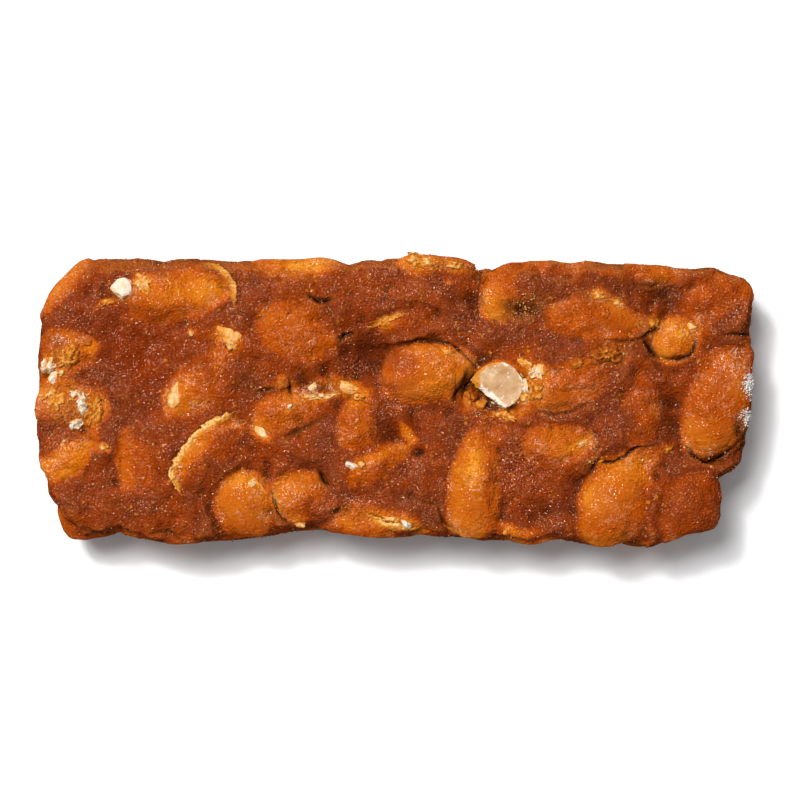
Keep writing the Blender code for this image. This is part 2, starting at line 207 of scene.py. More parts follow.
DARK = (  # deeply caramelised sugar, and painted shade in gaps and between almonds
    Patch(-5.8, 11.0, 12.2, 7.6, 35, 0.68),
    Patch(-4.2, 10.0, 5.5, 2.9, 35, 0.50),
    Patch(-15.9, 2.2, 9.7, 3.8, 0, 0.75),
    Patch(-30.2, 3.9, 8.4, 5.5, 0, 0.45),
    Patch(16.0, 20.7, 5.9, 4.6, 0, 0.85),
    Patch(71.7, -6.6, 2.9, 6.3, 0, 0.90),
    Patch(-14.9, 20.5, 3.1, 1.3, 0, 1.00),
    Patch(-21.6, 2.4, 1.1, 2.9, 0, 1.00),
    Patch(-26.8, 1.8, 4.6, 1.1, 10, 1.00),
    Patch(15.2, 3.1, 2.9, 7.6, -30, 1.00),
    Patch(19.4, -1.3, 8.4, 1.9, -38, 1.00),
    Patch(18.1, 7.3, 6.7, 1.7, 25, 0.90),
    Patch(13.9, 16.9, 3.8, 2.3, 0, 0.60),
    Patch(16.8, 19.0, 2.1, 8.8, 0, 0.55),
    Patch(26.5, 18.8, 8.8, 4.2, 0, 0.85),
    Patch(55.9, 22.0, 9.7, 6.3, 0, 0.85),
    Patch(57.6, 19.7, 6.7, 2.5, 0, 0.60),
    Patch(53.0, 11.0, 1.9, 5.5, 35, 1.00),
    Patch(57.0, -3.2, 5.5, 13.0, 0, 0.65),
    Patch(54.9, 6.0, 3.4, 5.5, 0, 0.50),
    Patch(67.7, -12.1, 6.7, 1.9, 15, 0.90),
    Patch(71.9, -9.5, 4.2, 5.0, 40, 0.60),
    Patch(59.3, 8.5, 7.1, 1.1, 0, 0.80),
    Patch(30.7, -23.0, 8.8, 4.6, 0, 0.50),
    Patch(-1.6, -6.2, 6.7, 9.2, 0, 0.60),
    Patch(5.5, -11.2, 1.9, 1.7, 0, 1.00),
    Patch(-14.7, -16.7, 1.7, 2.7, 0, 1.00),
    Patch(18.1, -3.0, 5.0, 1.3, 0, 0.80),
    Patch(-70.1, 12.3, 6.7, 5.0, 0, 0.50),
    Patch(-64.2, 16.1, 4.6, 4.2, 0, 0.60),
    Patch(-60.6, 22.4, 1.3, 5.0, 0, 0.80),
    Patch(-62.1, 5.0, 10.9, 5.5, 0, 0.40),
    Patch(-32.3, 22.8, 1.9, 5.5, 0, 0.60),
    Patch(-12.3, -23.0, 1.7, 0.8, 0, 0.90),
    Patch(-23.1, -15.4, 4.2, 1.3, 40, 0.80),
    Patch(71.7, 10.2, 4.2, 8.4, 0, 0.50),
    Patch(47.9, -28.2, 2.1, 2.1, 0, 0.60),
    Patch(65.4, -25.5, 6.3, 2.9, 30, 0.50),
    Patch(-47.0, -28.0, 5.5, 2.1, 0, 0.50),
    Patch(7.6, -25.5, 7.1, 4.6, 0, 0.50),
    Patch(34.9, -1.3, 10.5, 1.7, 8, 0.60),
    Patch(72.3, -7.0, 3.8, 8.4, 20, 0.80),
    Patch(43.3, -29.3, 18.9, 1.7, 0, 0.40),
    Patch(7.6, -28.9, 18.9, 2.1, 0, 0.50),
)
FROST_AND_GLINTS = (  # sugar crystals and dense painted pinkish glints
    Patch(25.7, -15.0, 8.0, 9.7, 0, 1.00),
    Patch(-8.8, 6.4, 5.9, 4.6, 0, 1.00),
    Patch(-10.0, 12.1, 2.7, 2.3, 0, 0.90),
    Patch(-34.4, 26.0, 8.8, 3.4, 0, 0.60),
    Patch(-32.3, 22.4, 3.4, 3.8, 0, 0.70),
    Patch(-54.3, 13.4, 17.6, 6.7, -15, 0.80),
    Patch(-61.7, 5.0, 13.0, 6.7, 0, 0.60),
    Patch(17.1, 15.5, 13.0, 5.0, 0, 0.70),
    Patch(5.5, 22.8, 10.9, 6.3, 0, 0.40),
    Patch(-0.2, 0.5, 6.7, 8.8, 0, 0.90),
    Patch(20.2, -3.4, 9.2, 3.4, 0, 0.80),
    Patch(34.9, -3.7, 13.4, 2.5, 0, 0.70),
    Patch(-21.8, -9.3, 3.1, 1.7, 0, 0.90),
    Patch(5.5, -13.9, 10.9, 4.2, 0, 0.60),
    Patch(-1.8, 27.4, 11.3, 3.8, 0, 0.80),
    Patch(71.7, 18.2, 8.8, 6.3, 0, 0.70),
    Patch(54.9, 4.3, 3.6, 2.1, 0, 0.90),
    Patch(45.4, -6.6, 8.8, 4.2, 0, 0.50),
    Patch(-70.1, 16.5, 6.7, 6.7, 0, 0.40),
    Patch(-9.2, -22.3, 12.6, 5.0, 0, 0.60),
    Patch(30.7, -0.3, 12.6, 4.2, 0, 0.30),
    Patch(-70.1, -6.6, 6.3, 12.6, 0, 0.60),
    Patch(-1.8, 22.4, 9.2, 5.0, 0, 0.60),
)
HOLLOWS = (  # dark pits between almonds; strength is the depth
    Patch(-6.0, 9.4, 12.2, 8.4, 70, 2.00),
    Patch(-15.9, 4.3, 13.0, 5.0, 15, 1.20),
    Patch(-1.6, -6.6, 7.1, 8.4, 0, 1.00),
    Patch(15.0, 2.2, 3.8, 6.7, 0, 2.00),
    Patch(17.7, 7.7, 8.8, 2.9, 28, 1.10),
    Patch(54.9, 11.0, 3.4, 6.3, 35, 1.20),
    Patch(54.9, 21.1, 7.1, 8.4, 0, 1.00),
    Patch(56.3, -2.4, 4.6, 12.6, 0, 0.80),
    Patch(68.1, -12.1, 7.6, 2.5, 15, 1.20),
    Patch(-26.0, -15.8, 3.4, 7.1, 10, 0.70),
    Patch(37.4, 0.5, 10.9, 2.5, 8, 0.90),
    Patch(30.3, -23.0, 8.8, 4.2, 0, 0.90),
    Patch(-66.3, 11.9, 8.4, 3.8, 0, 0.60),
    Patch(-60.6, 8.5, 8.4, 4.6, 0, 0.50),
    Patch(26.5, 18.4, 8.8, 4.6, 0, 1.00),
    Patch(16.8, 19.4, 2.5, 9.7, 0, 0.80),
    Patch(9.7, -2.4, 13.0, 2.9, 0, 0.60),
    Patch(22.3, -5.5, 6.7, 5.0, 0, 0.80),
    Patch(-14.4, -16.7, 2.1, 3.4, 0, 1.00),
    Patch(5.3, -11.2, 2.1, 1.9, 0, 1.90),
    Patch(-14.9, 20.5, 3.4, 1.3, 0, 0.70),
    Patch(-10.2, 12.7, 2.5, 1.9, 0, 0.80),
    Patch(62.2, -11.8, 4.2, 2.1, 0, 0.50),
    Patch(43.3, -20.7, 3.8, 8.4, 30, 0.60),
    Patch(-11.3, -25.5, 5.5, 2.5, 0, 0.50),
    Patch(16.8, 4.3, 3.4, 4.2, 0, 1.30),
    Patch(18.5, -0.7, 7.6, 2.9, -35, 0.90),
)

MOUNDS = (  # bulges between almonds; strength is the height
    Patch(3.2, -7.2, 7.6, 3.4, -63, 1.00),
    Patch(-2.3, -11.8, 12.2, 2.9, 19, 0.80),
    Patch(-10.2, 6.8, 5.0, 5.9, 0, 0.70),
    Patch(-51.2, 5.6, 11.3, 7.6, 10, 0.40),
    Patch(43.3, 25.5, 18.9, 4.6, 0, 0.40),
    Patch(7.6, 22.8, 12.6, 7.1, 0, 0.40),
    Patch(29.7, 9.8, 14.7, 4.2, 0, 0.30),
    Patch(-63.8, -21.3, 10.5, 6.3, 0, 0.40),
)

# Cracks along the edges of almonds: points that each runs through.
Crack = namedtuple("Crack", "width depth points")
CRACKS = (
    Crack(0.17, 1.2,
        ((0.9, 11.0), (5.5, 11.9), (9.7, 11.9), (12.9, 10.8), (14.7, 9.2), (16.4, 7.3),
         (17.5, 6.2))),
    Crack(0.32, 1.6, ((15.2, 6.0), (14.5, 3.7), (13.3, 1.6), (12.4, -0.5))),
    Crack(0.25, 1.5, ((-17.8, 21.5), (-16.1, 20.5), (-14.4, 20.3), (-12.8, 20.7))),
    Crack(0.13, 0.7, ((-14.2, 19.7), (-12.8, 17.3), (-11.9, 14.8), (-11.3, 12.3))),
    Crack(0.38, 1.4, ((-11.3, 12.1), (-10.0, 13.1), (-8.4, 13.6))),
    Crack(0.18, 1.3,
        ((39.5, -16.7), (41.2, -15.0), (42.7, -13.1), (44.6, -13.3), (46.7, -12.7), (48.6, -11.6),
         (50.2, -10.4), (52.8, -10.0), (55.5, -9.3))),
    Crack(0.27, 1.3, ((51.7, 12.9), (52.8, 11.0), (53.8, 9.4), (55.3, 8.3))),
    Crack(0.18, 1.0, ((42.9, 12.1), (47.1, 12.1), (51.3, 12.5), (53.6, 13.6), (55.3, 15.0))),
    Crack(0.21, 1.3, ((55.5, 8.9), (58.4, 8.1), (60.7, 8.7), (62.2, 9.8), (62.8, 11.5))),
    Crack(0.18, 1.2, ((68.7, 13.1), (71.7, 12.7), (75.6, 12.9))),
    Crack(0.24, 1.5,
        ((61.2, -10.2), (62.6, -11.8), (64.9, -12.7), (67.2, -12.1), (69.3, -10.2),
         (72.1, -7.6))),
    Crack(0.16, 1.2, ((-25.4, -19.2), (-24.7, -21.3), (-23.9, -23.2), (-22.6, -24.7), (-21.4, -25.9))),
    Crack(0.25, 1.5, ((-15.7, -15.0), (-14.9, -16.5), (-13.8, -18.1))),
    Crack(0.27, 0.7, ((-23.9, -8.3), (-21.4, -7.4), (-19.1, -6.6), (-16.8, -5.3), (-14.9, -3.7))),
    Crack(0.21, 1.2, ((-28.9, 1.2), (-26.8, 2.0), (-24.5, 2.2))),
    Crack(0.23, 1.2, ((-21.8, 4.1), (-21.6, 2.2), (-21.4, 0.5))),
    Crack(0.15, 0.9, ((18.3, 27.2), (17.9, 24.1), (17.7, 20.7), (18.1, 17.3))),
    Crack(0.17, 1.0, ((-50.8, -27.4), (-48.9, -26.3), (-46.6, -26.3), (-44.9, -27.6), (-43.4, -29.1))),
    Crack(0.15, 0.9, ((9.3, -21.1), (9.7, -23.4), (11.0, -25.5), (13.1, -27.4))),
    Crack(0.17, 0.8, ((4.9, -20.9), (7.4, -21.7), (9.3, -21.1))),
    Crack(0.17, 0.9, ((50.9, 24.1), (53.6, 23.6), (56.1, 24.3))),
    Crack(0.1, 0.6, ((48.3, -29.5), (51.7, -29.7), (54.9, -29.5), (58.0, -28.4))),
    Crack(0.15, 0.7, ((40.8, 10.2), (43.3, 10.8), (45.8, 10.6), (47.7, 8.9), (47.3, 6.6))),
    Crack(0.19, 1.0, ((29.9, -2.6), (33.2, -3.0), (37.0, -2.4), (40.8, -0.7))),
    Crack(0.21, 0.9, ((-13.2, -23.0), (-12.1, -23.4), (-11.1, -23.0))),
    Crack(0.25, 0.8, ((-58.5, -29.9), (-59.4, -28.0), (-61.7, -27.0), (-64.2, -26.8))),
)

# Pale lines, partly broken edges and partly painted highlights: half the width, how pale, and points
# from one end to the other.
# They end sharply on the left of that way and softly on its right.
Rim = namedtuple("Rim", "width pale points")
RIMS = (
    Rim(0.48, 1.00,
        ((-45.1, -18.1), (-46.2, -15.6), (-45.3, -12.9), (-43.6, -10.4), (-41.7, -8.1), (-39.4, -6.0),
         (-36.9, -4.3), (-34.6, -3.4))),
    Rim(0.47, 0.62, ((-38.6, 26.8), (-36.3, 26.4), (-34.4, 24.9), (-33.3, 22.8), (-33.1, 20.5))),
    Rim(0.37, 0.85, ((-4.6, -23.8), (-1.6, -24.9), (1.3, -25.7), (4.7, -27.2))),
    Rim(0.23, 0.60, ((-23.7, -23.2), (-24.7, -21.3), (-24.7, -19.0))),
    Rim(0.23, 0.50, ((-29.4, -16.5), (-27.7, -18.1), (-26.4, -19.6))),
    Rim(0.38, 0.60, ((1.5, 17.3), (-1.2, 16.5), (-3.9, 15.2))),
    Rim(0.19, 0.55, ((23.8, -28.2), (22.9, -27.0), (23.8, -25.7))),
    Rim(0.21, 0.35, ((16.0, -28.9), (13.1, -27.8), (10.8, -25.7))),
)

# Broken pieces of almond and sugar that lie on top, solid or crumbly: middle, size,
# heading, and how pale, from 0 for toasted gold to 1 for white.
Chip = namedtuple("Chip", "kind x y length width height heading pale")
CHIPS = (
    Chip("solid", -56.4, 23.0, 5.0, 4.6, 2.4, 60, 0.95),
    Chip("crumbly", -52.4, 23.7, 4.6, 3.6, 1.3, -20, 0.55),
    Chip("crumbly", -59.4, 20.1, 5.0, 1.9, 1.0, 20, 0.28),
    Chip("solid", -42.0, 13.6, 1.5, 1.3, 1.0, 20, 0.62),
    Chip("solid", -35.0, 12.7, 6.2, 4.4, 1.5, -25, 0.56),
    Chip("crumbly", -33.3, 11.0, 2.5, 1.9, 1.0, -30, 0.38),
    Chip("crumbly", -67.6, 8.6, 6.0, 4.6, 1.8, 50, 0.34),
    Chip("solid", -64.0, 11.9, 2.9, 2.3, 0.9, 30, 0.08),
    Chip("crumbly", -71.8, 6.6, 3.6, 3.3, 1.6, 70, 0.86),
    Chip("solid", -70.4, 4.5, 3.3, 2.9, 1.8, 30, 0.93),
    Chip("crumbly", -69.3, 5.4, 1.9, 1.7, 1.2, 0, 0.6),
    Chip("crumbly", -71.4, 1.4, 4.2, 2.5, 1.2, 60, 0.4),
    Chip("crumbly", -64.6, -1.1, 2.5, 5.0, 1.6, 10, 0.97),
    Chip("crumbly", -66.1, -5.3, 3.1, 2.7, 1.6, 20, 0.97),
    Chip("crumbly", -62.3, -2.6, 3.8, 7.1, 1.3, -10, 0.34),
    Chip("crumbly", -70.1, -0.7, 4.2, 3.8, 1.1, 40, 0.42),
    Chip("crumbly", -66.3, 1.0, 2.9, 1.7, 1.3, 10, 0.8),
    Chip("crumbly", -68.6, -9.1, 1.7, 0.8, 0.8, 50, 0.75),
    Chip("crumbly", -60.2, -10.0, 2.1, 1.9, 0.8, 0, 0.35),
    Chip("solid", -45.0, 1.0, 6.6, 3.3, 1.5, 52, 0.66),
    Chip("solid", -27.5, -7.4, 4.6, 2.5, 1.5, -32, 0.72),
    Chip("crumbly", -21.6, -1.8, 1.7, 1.1, 0.7, 60, 0.8),
    Chip("crumbly", -15.1, 0.5, 7.6, 1.5, 1.1, 4, 0.72),
    Chip("solid", -10.0, 2.0, 6.7, 3.6, 2.4, -15, 0.6),
    Chip("crumbly", -7.1, 0.3, 3.4, 2.1, 1.6, -20, 0.4),
    Chip("solid", -23.1, 3.1, 3.1, 2.3, 1.6, 20, 0.12),
    Chip("solid", -16.8, 2.4, 1.9, 1.7, 1.4, 20, 0.68),
    Chip("solid", -8.6, -13.9, 2.9, 2.3, 1.9, 10, 1.0),
    Chip("crumbly", -6.7, -13.5, 2.1, 1.9, 1.3, 20, 0.45),
    Chip("solid", -19.9, -25.9, 3.1, 1.9, 1.2, -10, 0.55),
    Chip("crumbly", 2.6, -26.1, 2.9, 1.5, 1.1, -35, 0.97),
    Chip("crumbly", -0.4, -25.1, 4.2, 1.5, 0.9, -10, 0.5),
    Chip("solid", 15.0, -0.7, 2.7, 4.2, 2.3, 12, 0.18),
    Chip("solid", 18.3, -1.3, 3.1, 2.3, 2.0, 25, 0.2),
    Chip("crumbly", 16.6, 0.1, 1.9, 1.7, 1.5, 0, 0.15),
    Chip("crumbly", 20.8, -0.5, 2.1, 1.1, 1.0, -40, 1.0),
    Chip("crumbly", 22.9, -1.6, 2.3, 1.1, 1.0, -15, 1.0),
    Chip("crumbly", 25.2, -0.7, 1.9, 1.3, 1.0, 30, 0.9),
    Chip("crumbly", 29.9, 5.6, 3.8, 3.2, 1.2, 20, 0.80),
    Chip("crumbly", 27.2, 2.9, 1.7, 4.0, 1.4, 10, 0.90),
    Chip("crumbly", 27.6, 6.9, 4.2, 2.2, 1.1, -40, 0.52),
    Chip("crumbly", 29.2, 1.4, 3.6, 5.6, 1.4, 8, 0.36),
    Chip("crumbly", 23.0, -3.6, 5.2, 2.4, 1.2, -10, 0.38),
    Chip("crumbly", 27.3, 0.3, 2.5, 2.1, 1.2, 40, 0.5),
    Chip("crumbly", 44.4, 8.9, 6.7, 4.0, 1.8, -12, 0.13),
    Chip("crumbly", 38.1, 7.3, 3.8, 1.7, 1.1, 10, 0.16),
    Chip("crumbly", 54.2, 15.5, 2.7, 2.5, 1.6, 30, 0.28),
    Chip("solid", 61.8, 14.8, 3.6, 2.1, 0.9, -15, 0.62),
    Chip("crumbly", 4.9, 28.7, 5.9, 2.7, 1.4, -12, 0.48),
    Chip("crumbly", 12.6, 27.8, 4.6, 1.9, 1.1, -10, 0.42),
    Chip("crumbly", 42.7, 21.5, 3.8, 1.9, 0.8, -20, 0.5),
    Chip("crumbly", 46.7, 19.9, 2.7, 1.7, 0.7, -30, 0.42),
    Chip("crumbly", 39.1, -9.4, 2.8, 1.4, 0.5, 30, 0.62),
    Chip("crumbly", 57.2, -10.6, 2.5, 1.5, 1.0, 20, 0.22),
    Chip("crumbly", 43.3, -12.7, 1.9, 1.5, 1.0, 30, 0.24),
    Chip("solid", 20.0, 9.6, 1.1, 1.1, 0.9, 20, 0.35),
    Chip("crumbly", -29.4, -17.5, 1.9, 2.1, 0.9, -40, 0.8),
    Chip("crumbly", -1.6, 15.7, 2.5, 1.7, 0.9, 10, 0.35),
    Chip("crumbly", 11.2, 9.6, 2.9, 1.3, 0.6, -25, 0.45),
)

# White sugar powder on the right end.
POWDER = (
    Patch(73.7, 3.1, 2.4, 4.6, 0, 1.0),
    Patch(73.2, -3.8, 2.6, 3.0, 0, 1.0),
)

# The bar's outline seen from above, read off the photograph clockwise from the far
# left corner. A smooth curve runs through these points.
OUTLINE = (
    (-65.2, 29.4), (-62.0, 29.6), (-53.0, 29.7), (-49.0, 29.3), (-43.0, 29.4), (-38.5, 29.4),
    (-35.0, 28.8), (-28.0, 29.0), (-20.0, 29.2), (-14.0, 29.7), (-11.5, 29.3), (-9.5, 28.3),
    (-6.0, 29.1), (0.0, 29.3), (3.0, 29.8), (7.0, 29.9), (11.0, 29.6), (15.0, 28.9),
    (17.5, 27.8), (20.0, 27.5), (24.0, 28.2), (29.0, 28.7), (33.0, 28.7), (37.0, 28.3),
    (41.0, 28.8), (48.0, 28.4), (55.0, 28.0), (62.0, 27.5), (68.0, 27.5), (70.0, 26.4),
    (72.0, 26.0), (74.6, 24.4), (75.4, 21.5), (75.5, 18.0), (75.0, 15.0), (75.4, 11.5),
    (75.2, 7.0), (74.8, 1.0), (74.6, -4.0), (74.5, -7.6), (73.3, -10.2), (72.6, -13.9),
    (71.0, -16.0), (69.2, -17.3), (68.7, -19.3), (69.8, -22.6), (69.0, -25.6), (66.6, -27.4),
    (61.0, -28.2), (59.5, -29.3), (57.0, -30.6), (53.0, -31.5), (49.5, -31.2), (47.5, -30.3),
    (46.0, -30.9), (41.0, -30.8), (37.5, -30.1), (34.5, -29.4), (32.0, -29.8), (28.5, -30.6),
    (25.0, -30.2), (22.5, -29.5), (19.0, -30.0), (15.0, -29.3), (10.0, -28.9), (5.0, -28.3),
    (2.0, -29.3), (-4.0, -29.0), (-12.0, -28.0), (-18.0, -28.0), (-24.0, -28.7), (-31.0, -29.6),
    (-40.0, -30.2), (-47.0, -30.3), (-54.0, -29.4), (-58.0, -28.0), (-60.0, -28.7),
    (-62.5, -29.9), (-66.2, -30.0), (-69.0, -28.4), (-70.6, -24.5), (-70.9, -22.0),
    (-72.4, -19.5), (-72.7, -17.0), (-74.2, -14.4), (-74.7, -10.0), (-74.8, -3.0),
    (-74.4, 4.0), (-74.2, 11.0), (-74.0, 17.5), (-72.7, 20.3), (-71.1, 22.9), (-69.2, 25.0),
    (-67.2, 27.2),
)
SEEN_SMALLER = 1.005  # the bar is widest below the level for which these points hold

# The outline is compared at places along a spine in the bar's middle, first on its far
# side from left to right, then round its right end, back and round its left end.
SPINE = 46.0  # half the spine's length
SPACING = 2.0
FAN = 5.0  # degrees from one to the next round the ends
PLACES = round(2 * (2 * SPINE / SPACING + 180 / FAN))

# --- the surface's making -------------------------------------------------------

# A kind of unevenness: its height, the size of its lumps, how many finer sizes it has
# too, and its place in the noise, so that no two kinds look alike.
Bumps = namedtuple("Bumps", "height size octaves place")
WAVES = Bumps(0.60, 9.0, 3, 0.0)
DIPS = Bumps(1.0, 6.0, 2, 3.0)  # in deep sugar
LUMPS = Bumps(0.32, 3.6, 3, 2.0)
GRAIN = Bumps(0.07, 1.0, 2, 4.0)
CRUST = Bumps(0.35, 1.3, 2, 6.0)  # in sandy places
SIDE_DENTS = Bumps(1.5, 6.0, 2, 12.0)  # between the almonds of the sides
UNDER_WAVES = Bumps(0.15, 12.0, 3, 4.0)
PITS = Bumps(0.7, 3.5, 3, 8.0)  # in the underside
ALMOND_WAVES = Bumps(0.28, 6.0, 3, 0.0)
ALMOND_LUMPS = Bumps(0.07, 1.6, 3, 5.0)
FILM_WAVES = Bumps(0.16, 4.0, 3, 9.0)
SNAP_JAGS = Bumps(0.3, 1.2, 3, 0.0)
UNEVEN = (Bumps(0.9, 5.0, 3, 1.0), Bumps(0.9, 5.0, 3, 6.0))  # glows' outlines, in x and y
JAGGED = (Bumps(0.22, 1.3, 3, 3.0), Bumps(0.22, 1.3, 3, 7.0))  # cracks and pale edges
FLAKE_OUTLINE = Bumps(0.55, 0.7, 3, 0.0)
FLAKE_ROUGH = Bumps(0.6, 0.8, 3, 0.0)
CLUSTERS = Bumps(1.0, 6.0, 2, 4.0)  # of sugar crystals
NOISE_GAIN, NOISE_STEP = 0.6, 2.0  # from one size of lumps to the next

# Ranges from where something starts to where it is complete, or the other way round.
# These go by how far a face turns up: 1 is flat on top, 0 upright and -1 underneath.
ON_TOP = (0.0, 0.4)
TOP_RELIEF = (0.1, 0.5)
SIDE_RELIEF = (0.1, 0.6)
SLAB_TOP = (0.3, 0.9)
ALMOND_TOP = (0.35, 0.85)
FILLED_TOP = (0.3, 0.8)
FAR_EDGE_UP = (-0.2, 0.2)
FACES_DOWN = -0.5
FACES_SIDEWAYS = 0.35

# These go by height over the table.
SLAB_FOOT = (0.2, 3.0)
FILLED_FOOT = (0.3, 1.5)
BIT_FOOT = (0.3, 1.0)
STILL = (1.1, 2.6)  # below the first height the relief stops, above the second it is whole
POWDER_HEIGHT = (7, 14)
UNDERSIDE = 0.6
THINNED_UNDERSIDE = 1.5
THINNED_SIDES = 0.3
TOUCHES_TABLE = 0.1
NEAR_TABLE = 0.3
TABLE_LIFT = 0.25  # sugar keeps this far above the table under a pressed almond

# Almonds.
MERGE = 0.01  # points nearer to each other than this become one
FLAT_ANGLE = 1.5  # faces that differ by less become one
FLAT_CREASE = 0.9  # how sharp the edge of a flat face stays
UPRIGHT = 0.9
COARSE, FINE = 2, 3  # how often the faces of a covered and of a bare almond are divided
BARE_FILM = 0.2
BARE = (-0.3, 0.1)  # from under the sugar to bare, by the film below 0
SPLIT_SHIFT = (-0.9, 0.0)
SNAP = ((16.2, 4.1), (22.9, -1.8))  # ends of the split almond's broken edge
SNAP_WIDTH = 1.1  # how far in from there its face is chalky
SNAP_CLEAR = 0.3  # share of that where it is wholly so
SNAP_SHARE = 0.85  # share of what lies beyond that edge that is taken off
RIM_SPOKES = 24  # directions in which the split almond's outline is measured
RIM_EDGE = (0.75, 0.98)
RIM_CHALK = 0.6
TIP_REACH = (2.6, 4.2)
FAR_RIM_REACH, FAR_RIM_LEAN = (1.0, 4.0), 0.7
LIMITS = (73.4, 28.9)  # what reaches further out, along and across, is pressed in
PRESSED = 0.4
FLANK = (0.1, 1.3, 1.3)  # sugar on an almond's sides: least, growth with the film, and most
SEAL = 0.50  # sugar round an almond where it is set in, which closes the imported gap
EMERGES = (0.35, 1.10)  # from set in to standing out, by distance from the slab
LOWER_SEED = 11

# The sugar.
VOXEL = 0.40
SMOOTHING = {"factor": 0.5, "iterations": 3}
RAISE = (1.9, 1.4)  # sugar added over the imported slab, on its top and on its sides
MOAT = (0.8, 3.5)  # share of that left out beside bare almonds, and how far out
OUTER_BAND = 9.0  # how far in the outline's correction reaches
SHOULDER = 0.6  # share left of the rounded edge's width
FILL_STEPS = (8, 60)  # how far valleys are filled, on the top and round the outline
FILL_SHARE = 0.9
UNDERSIDE_SHARE = 0.14  # of its faces that the flat underside keeps
SIDE_SHARE = 0.42
PIT_RANGE = (0.1, 0.7)
DENT_RANGE = (0.0, 0.5)
DEEP = (0.3, 1.6)  # from shallow to deep sugar, by its film
WET_CALM = 0.75  # share of the relief that glassy sugar loses
SANDY_GRAIN = (0.6, 1.4)  # the grain's share everywhere, and what sandy places add
FILM_RANGE = (-0.5, 1.5)  # beyond these the colour stays the same
HALO_REACH = 2.2  # sugar is thinner round a chip, this many times its size
HALO_FILM, HALO_TONE = -0.05, 0.95
WHITE = 0.9  # chips as pale as this have no halo
LINE_STEPS = 14
LINE_MARGIN = 2.0  # points further from a line than this aren't measured
TAPER = (0.08, 0.92)  # a line thins out at its ends, as a half wave does
CRACK_REACH = (0.6, 1.4)  # a crack acts fully up to the first distance, not beyond the second
RIM_REACH = (1.2, 4.5)  # the same for a pale edge
FAR_SIDE = 8.0
CRACK_MOUTH = 0.36
CRACK_DEPTH = 0.6
DEEP_CRACK = 1.5  # from this depth a crack gets black painted shadow inside
RIM_HEIGHT = 0.08
CAVITY = (24, 0.7)  # smoothing steps, and the depth that counts as 1
FINE_CAVITY = (3, 0.12)
# Where the painted highlight on the far side's upper edge lies: how far a face turns to the far side,
# and its place across the bar.
FAR_EDGE_TURN = (0.25, 0.7)
FAR_EDGE_PLACE = (20, 27)

# Chips, grains, crumbs and powder.
SINK = -0.05  # height of a chip's middle over the surface, by its own height
CHIP_SEED = 5
CHIP_FOOT = 0.8  # share of its height over which a chip gets paler
CHIP_SHADE = 0.5
WORN_CORNERS, GRAIN_CORNERS, CRYSTAL_CORNERS = 11, 7, 7
CORNER_LEAST = 0.3
CORNER_REACH = (0.8, 1.0)
WORN_BEVEL = 0.06
WORN_BUMPS = Bumps(0.16, 1.0, 3, 0.0)  # its place is drawn at random
NOISE_PLACES = (0, 50)
CRUMBLE = (0.2, 0.5)  # sizes of the grains in a crumbly chip
CRUMBLE_COUNT = (6, 2.2)  # grains in any chip, and for each square millimetre of its box
CRUMBLE_RISE = (0.2, 1.0, -0.4)  # least, most, and shift
CRUMBLE_SHADE = 0.18
FLAKE_STEP = 0.32
FLAKE_RINGS, FLAKE_SPOKES = 3, 10  # at least so many
FLAKE_LIFT = 0.45
FLAKE_EDGE = 0.15  # how far the edge lies under the surface
FLAKE_DROP = (1, 1.5)  # how far it hangs down beside the bar, and at most elsewhere
FLAKE_SHADES = (0.35, 0.30)  # paler on its lumps, darker towards its edge
SHAPES = 8  # different shapes of scattered grains
STRETCH = (0.7, 1.2)
JITTER = 0.2
SUNK = 0.25
STANDS_OUT = 0.6
RAY_START = 60.0  # how high over the table rays start

# Number, sizes and seed of what is scattered.
Scatter = namedtuple("Scatter", "count sizes seed")
CRYSTALS = Scatter(9000, (0.12, 0.32), 21)
CRUMBS = Scatter(1300, (0.15, 0.50), 22)
POWDER_GRAINS = Scatter(1500, (0.12, 0.45), 23)
CLUSTER_RANGE, CLUSTER_LEAST = (0.1, 0.6), 0.15
CRUMB_LEAST = 0.006
POWDER_LEAST = 1e-9


# --- meshes and arrays ----------------------------------------------------------


def points_of(mesh):
    points = np.empty(len(mesh.vertices) * 3)
    mesh.vertices.foreach_get("co", points)
    return points.reshape(-1, 3) / MM


def normals_of(mesh):
    normals = np.empty(len(mesh.vertices) * 3)
    mesh.vertex_normals.foreach_get("vector", normals)
    return normals.reshape(-1, 3)


def face_normals_and_centres(mesh):
    normals = np.empty(len(mesh.polygons) * 3)
    mesh.polygon_normals.foreach_get("vector", normals)
    centres = np.empty(len(mesh.polygons) * 3)
    mesh.polygons.foreach_get("center", centres)
    return normals.reshape(-1, 3), centres.reshape(-1, 3) / MM


def set_points(mesh, points):
    mesh.vertices.foreach_set("co", (points * MM).ravel())
    mesh.update()


def set_attribute(mesh, name, values):
    attribute = mesh.attributes.new(name, "FLOAT", "POINT")
    attribute.data.foreach_set("value", np.asarray(values, np.float32))


def mesh_from(name, points, faces):
    """A mesh in metres from points in millimetres."""
    mesh = bpy.data.meshes.new(name)
    mesh.from_pydata((points * MM).tolist(), [], faces)
    mesh.update()
    return mesh


def piece(name, mesh, material, stands_for=()):
    """A visible piece that moves with the bar."""
    mesh.shade_smooth()
    mesh.materials.clear()
    mesh.materials.append(material)
    obj = bpy.data.objects.new(name, mesh)
    bpy.context.scene.collection.objects.link(obj)
    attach(obj, "root")
    if stands_for:
        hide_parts(*stands_for)
    return obj


def evaluated(mesh, *modifiers):
    """A new mesh with the modifiers applied, each a type and its settings."""
    obj = bpy.data.objects.new("working", mesh)
    bpy.context.scene.collection.objects.link(obj)
    for kind, settings in modifiers:
        modifier = obj.modifiers.new(kind, kind)
        for key, value in settings.items():
            setattr(modifier, key, value)
    graph = bpy.context.evaluated_depsgraph_get()
    result = bpy.data.meshes.new_from_object(obj.evaluated_get(graph))
    bpy.data.objects.remove(obj)
    return result


def divided(levels):
    """The modifier that divides faces and leaves the form as it is."""
    return "SUBSURF", {"levels": levels, "subdivision_type": "SIMPLE"}


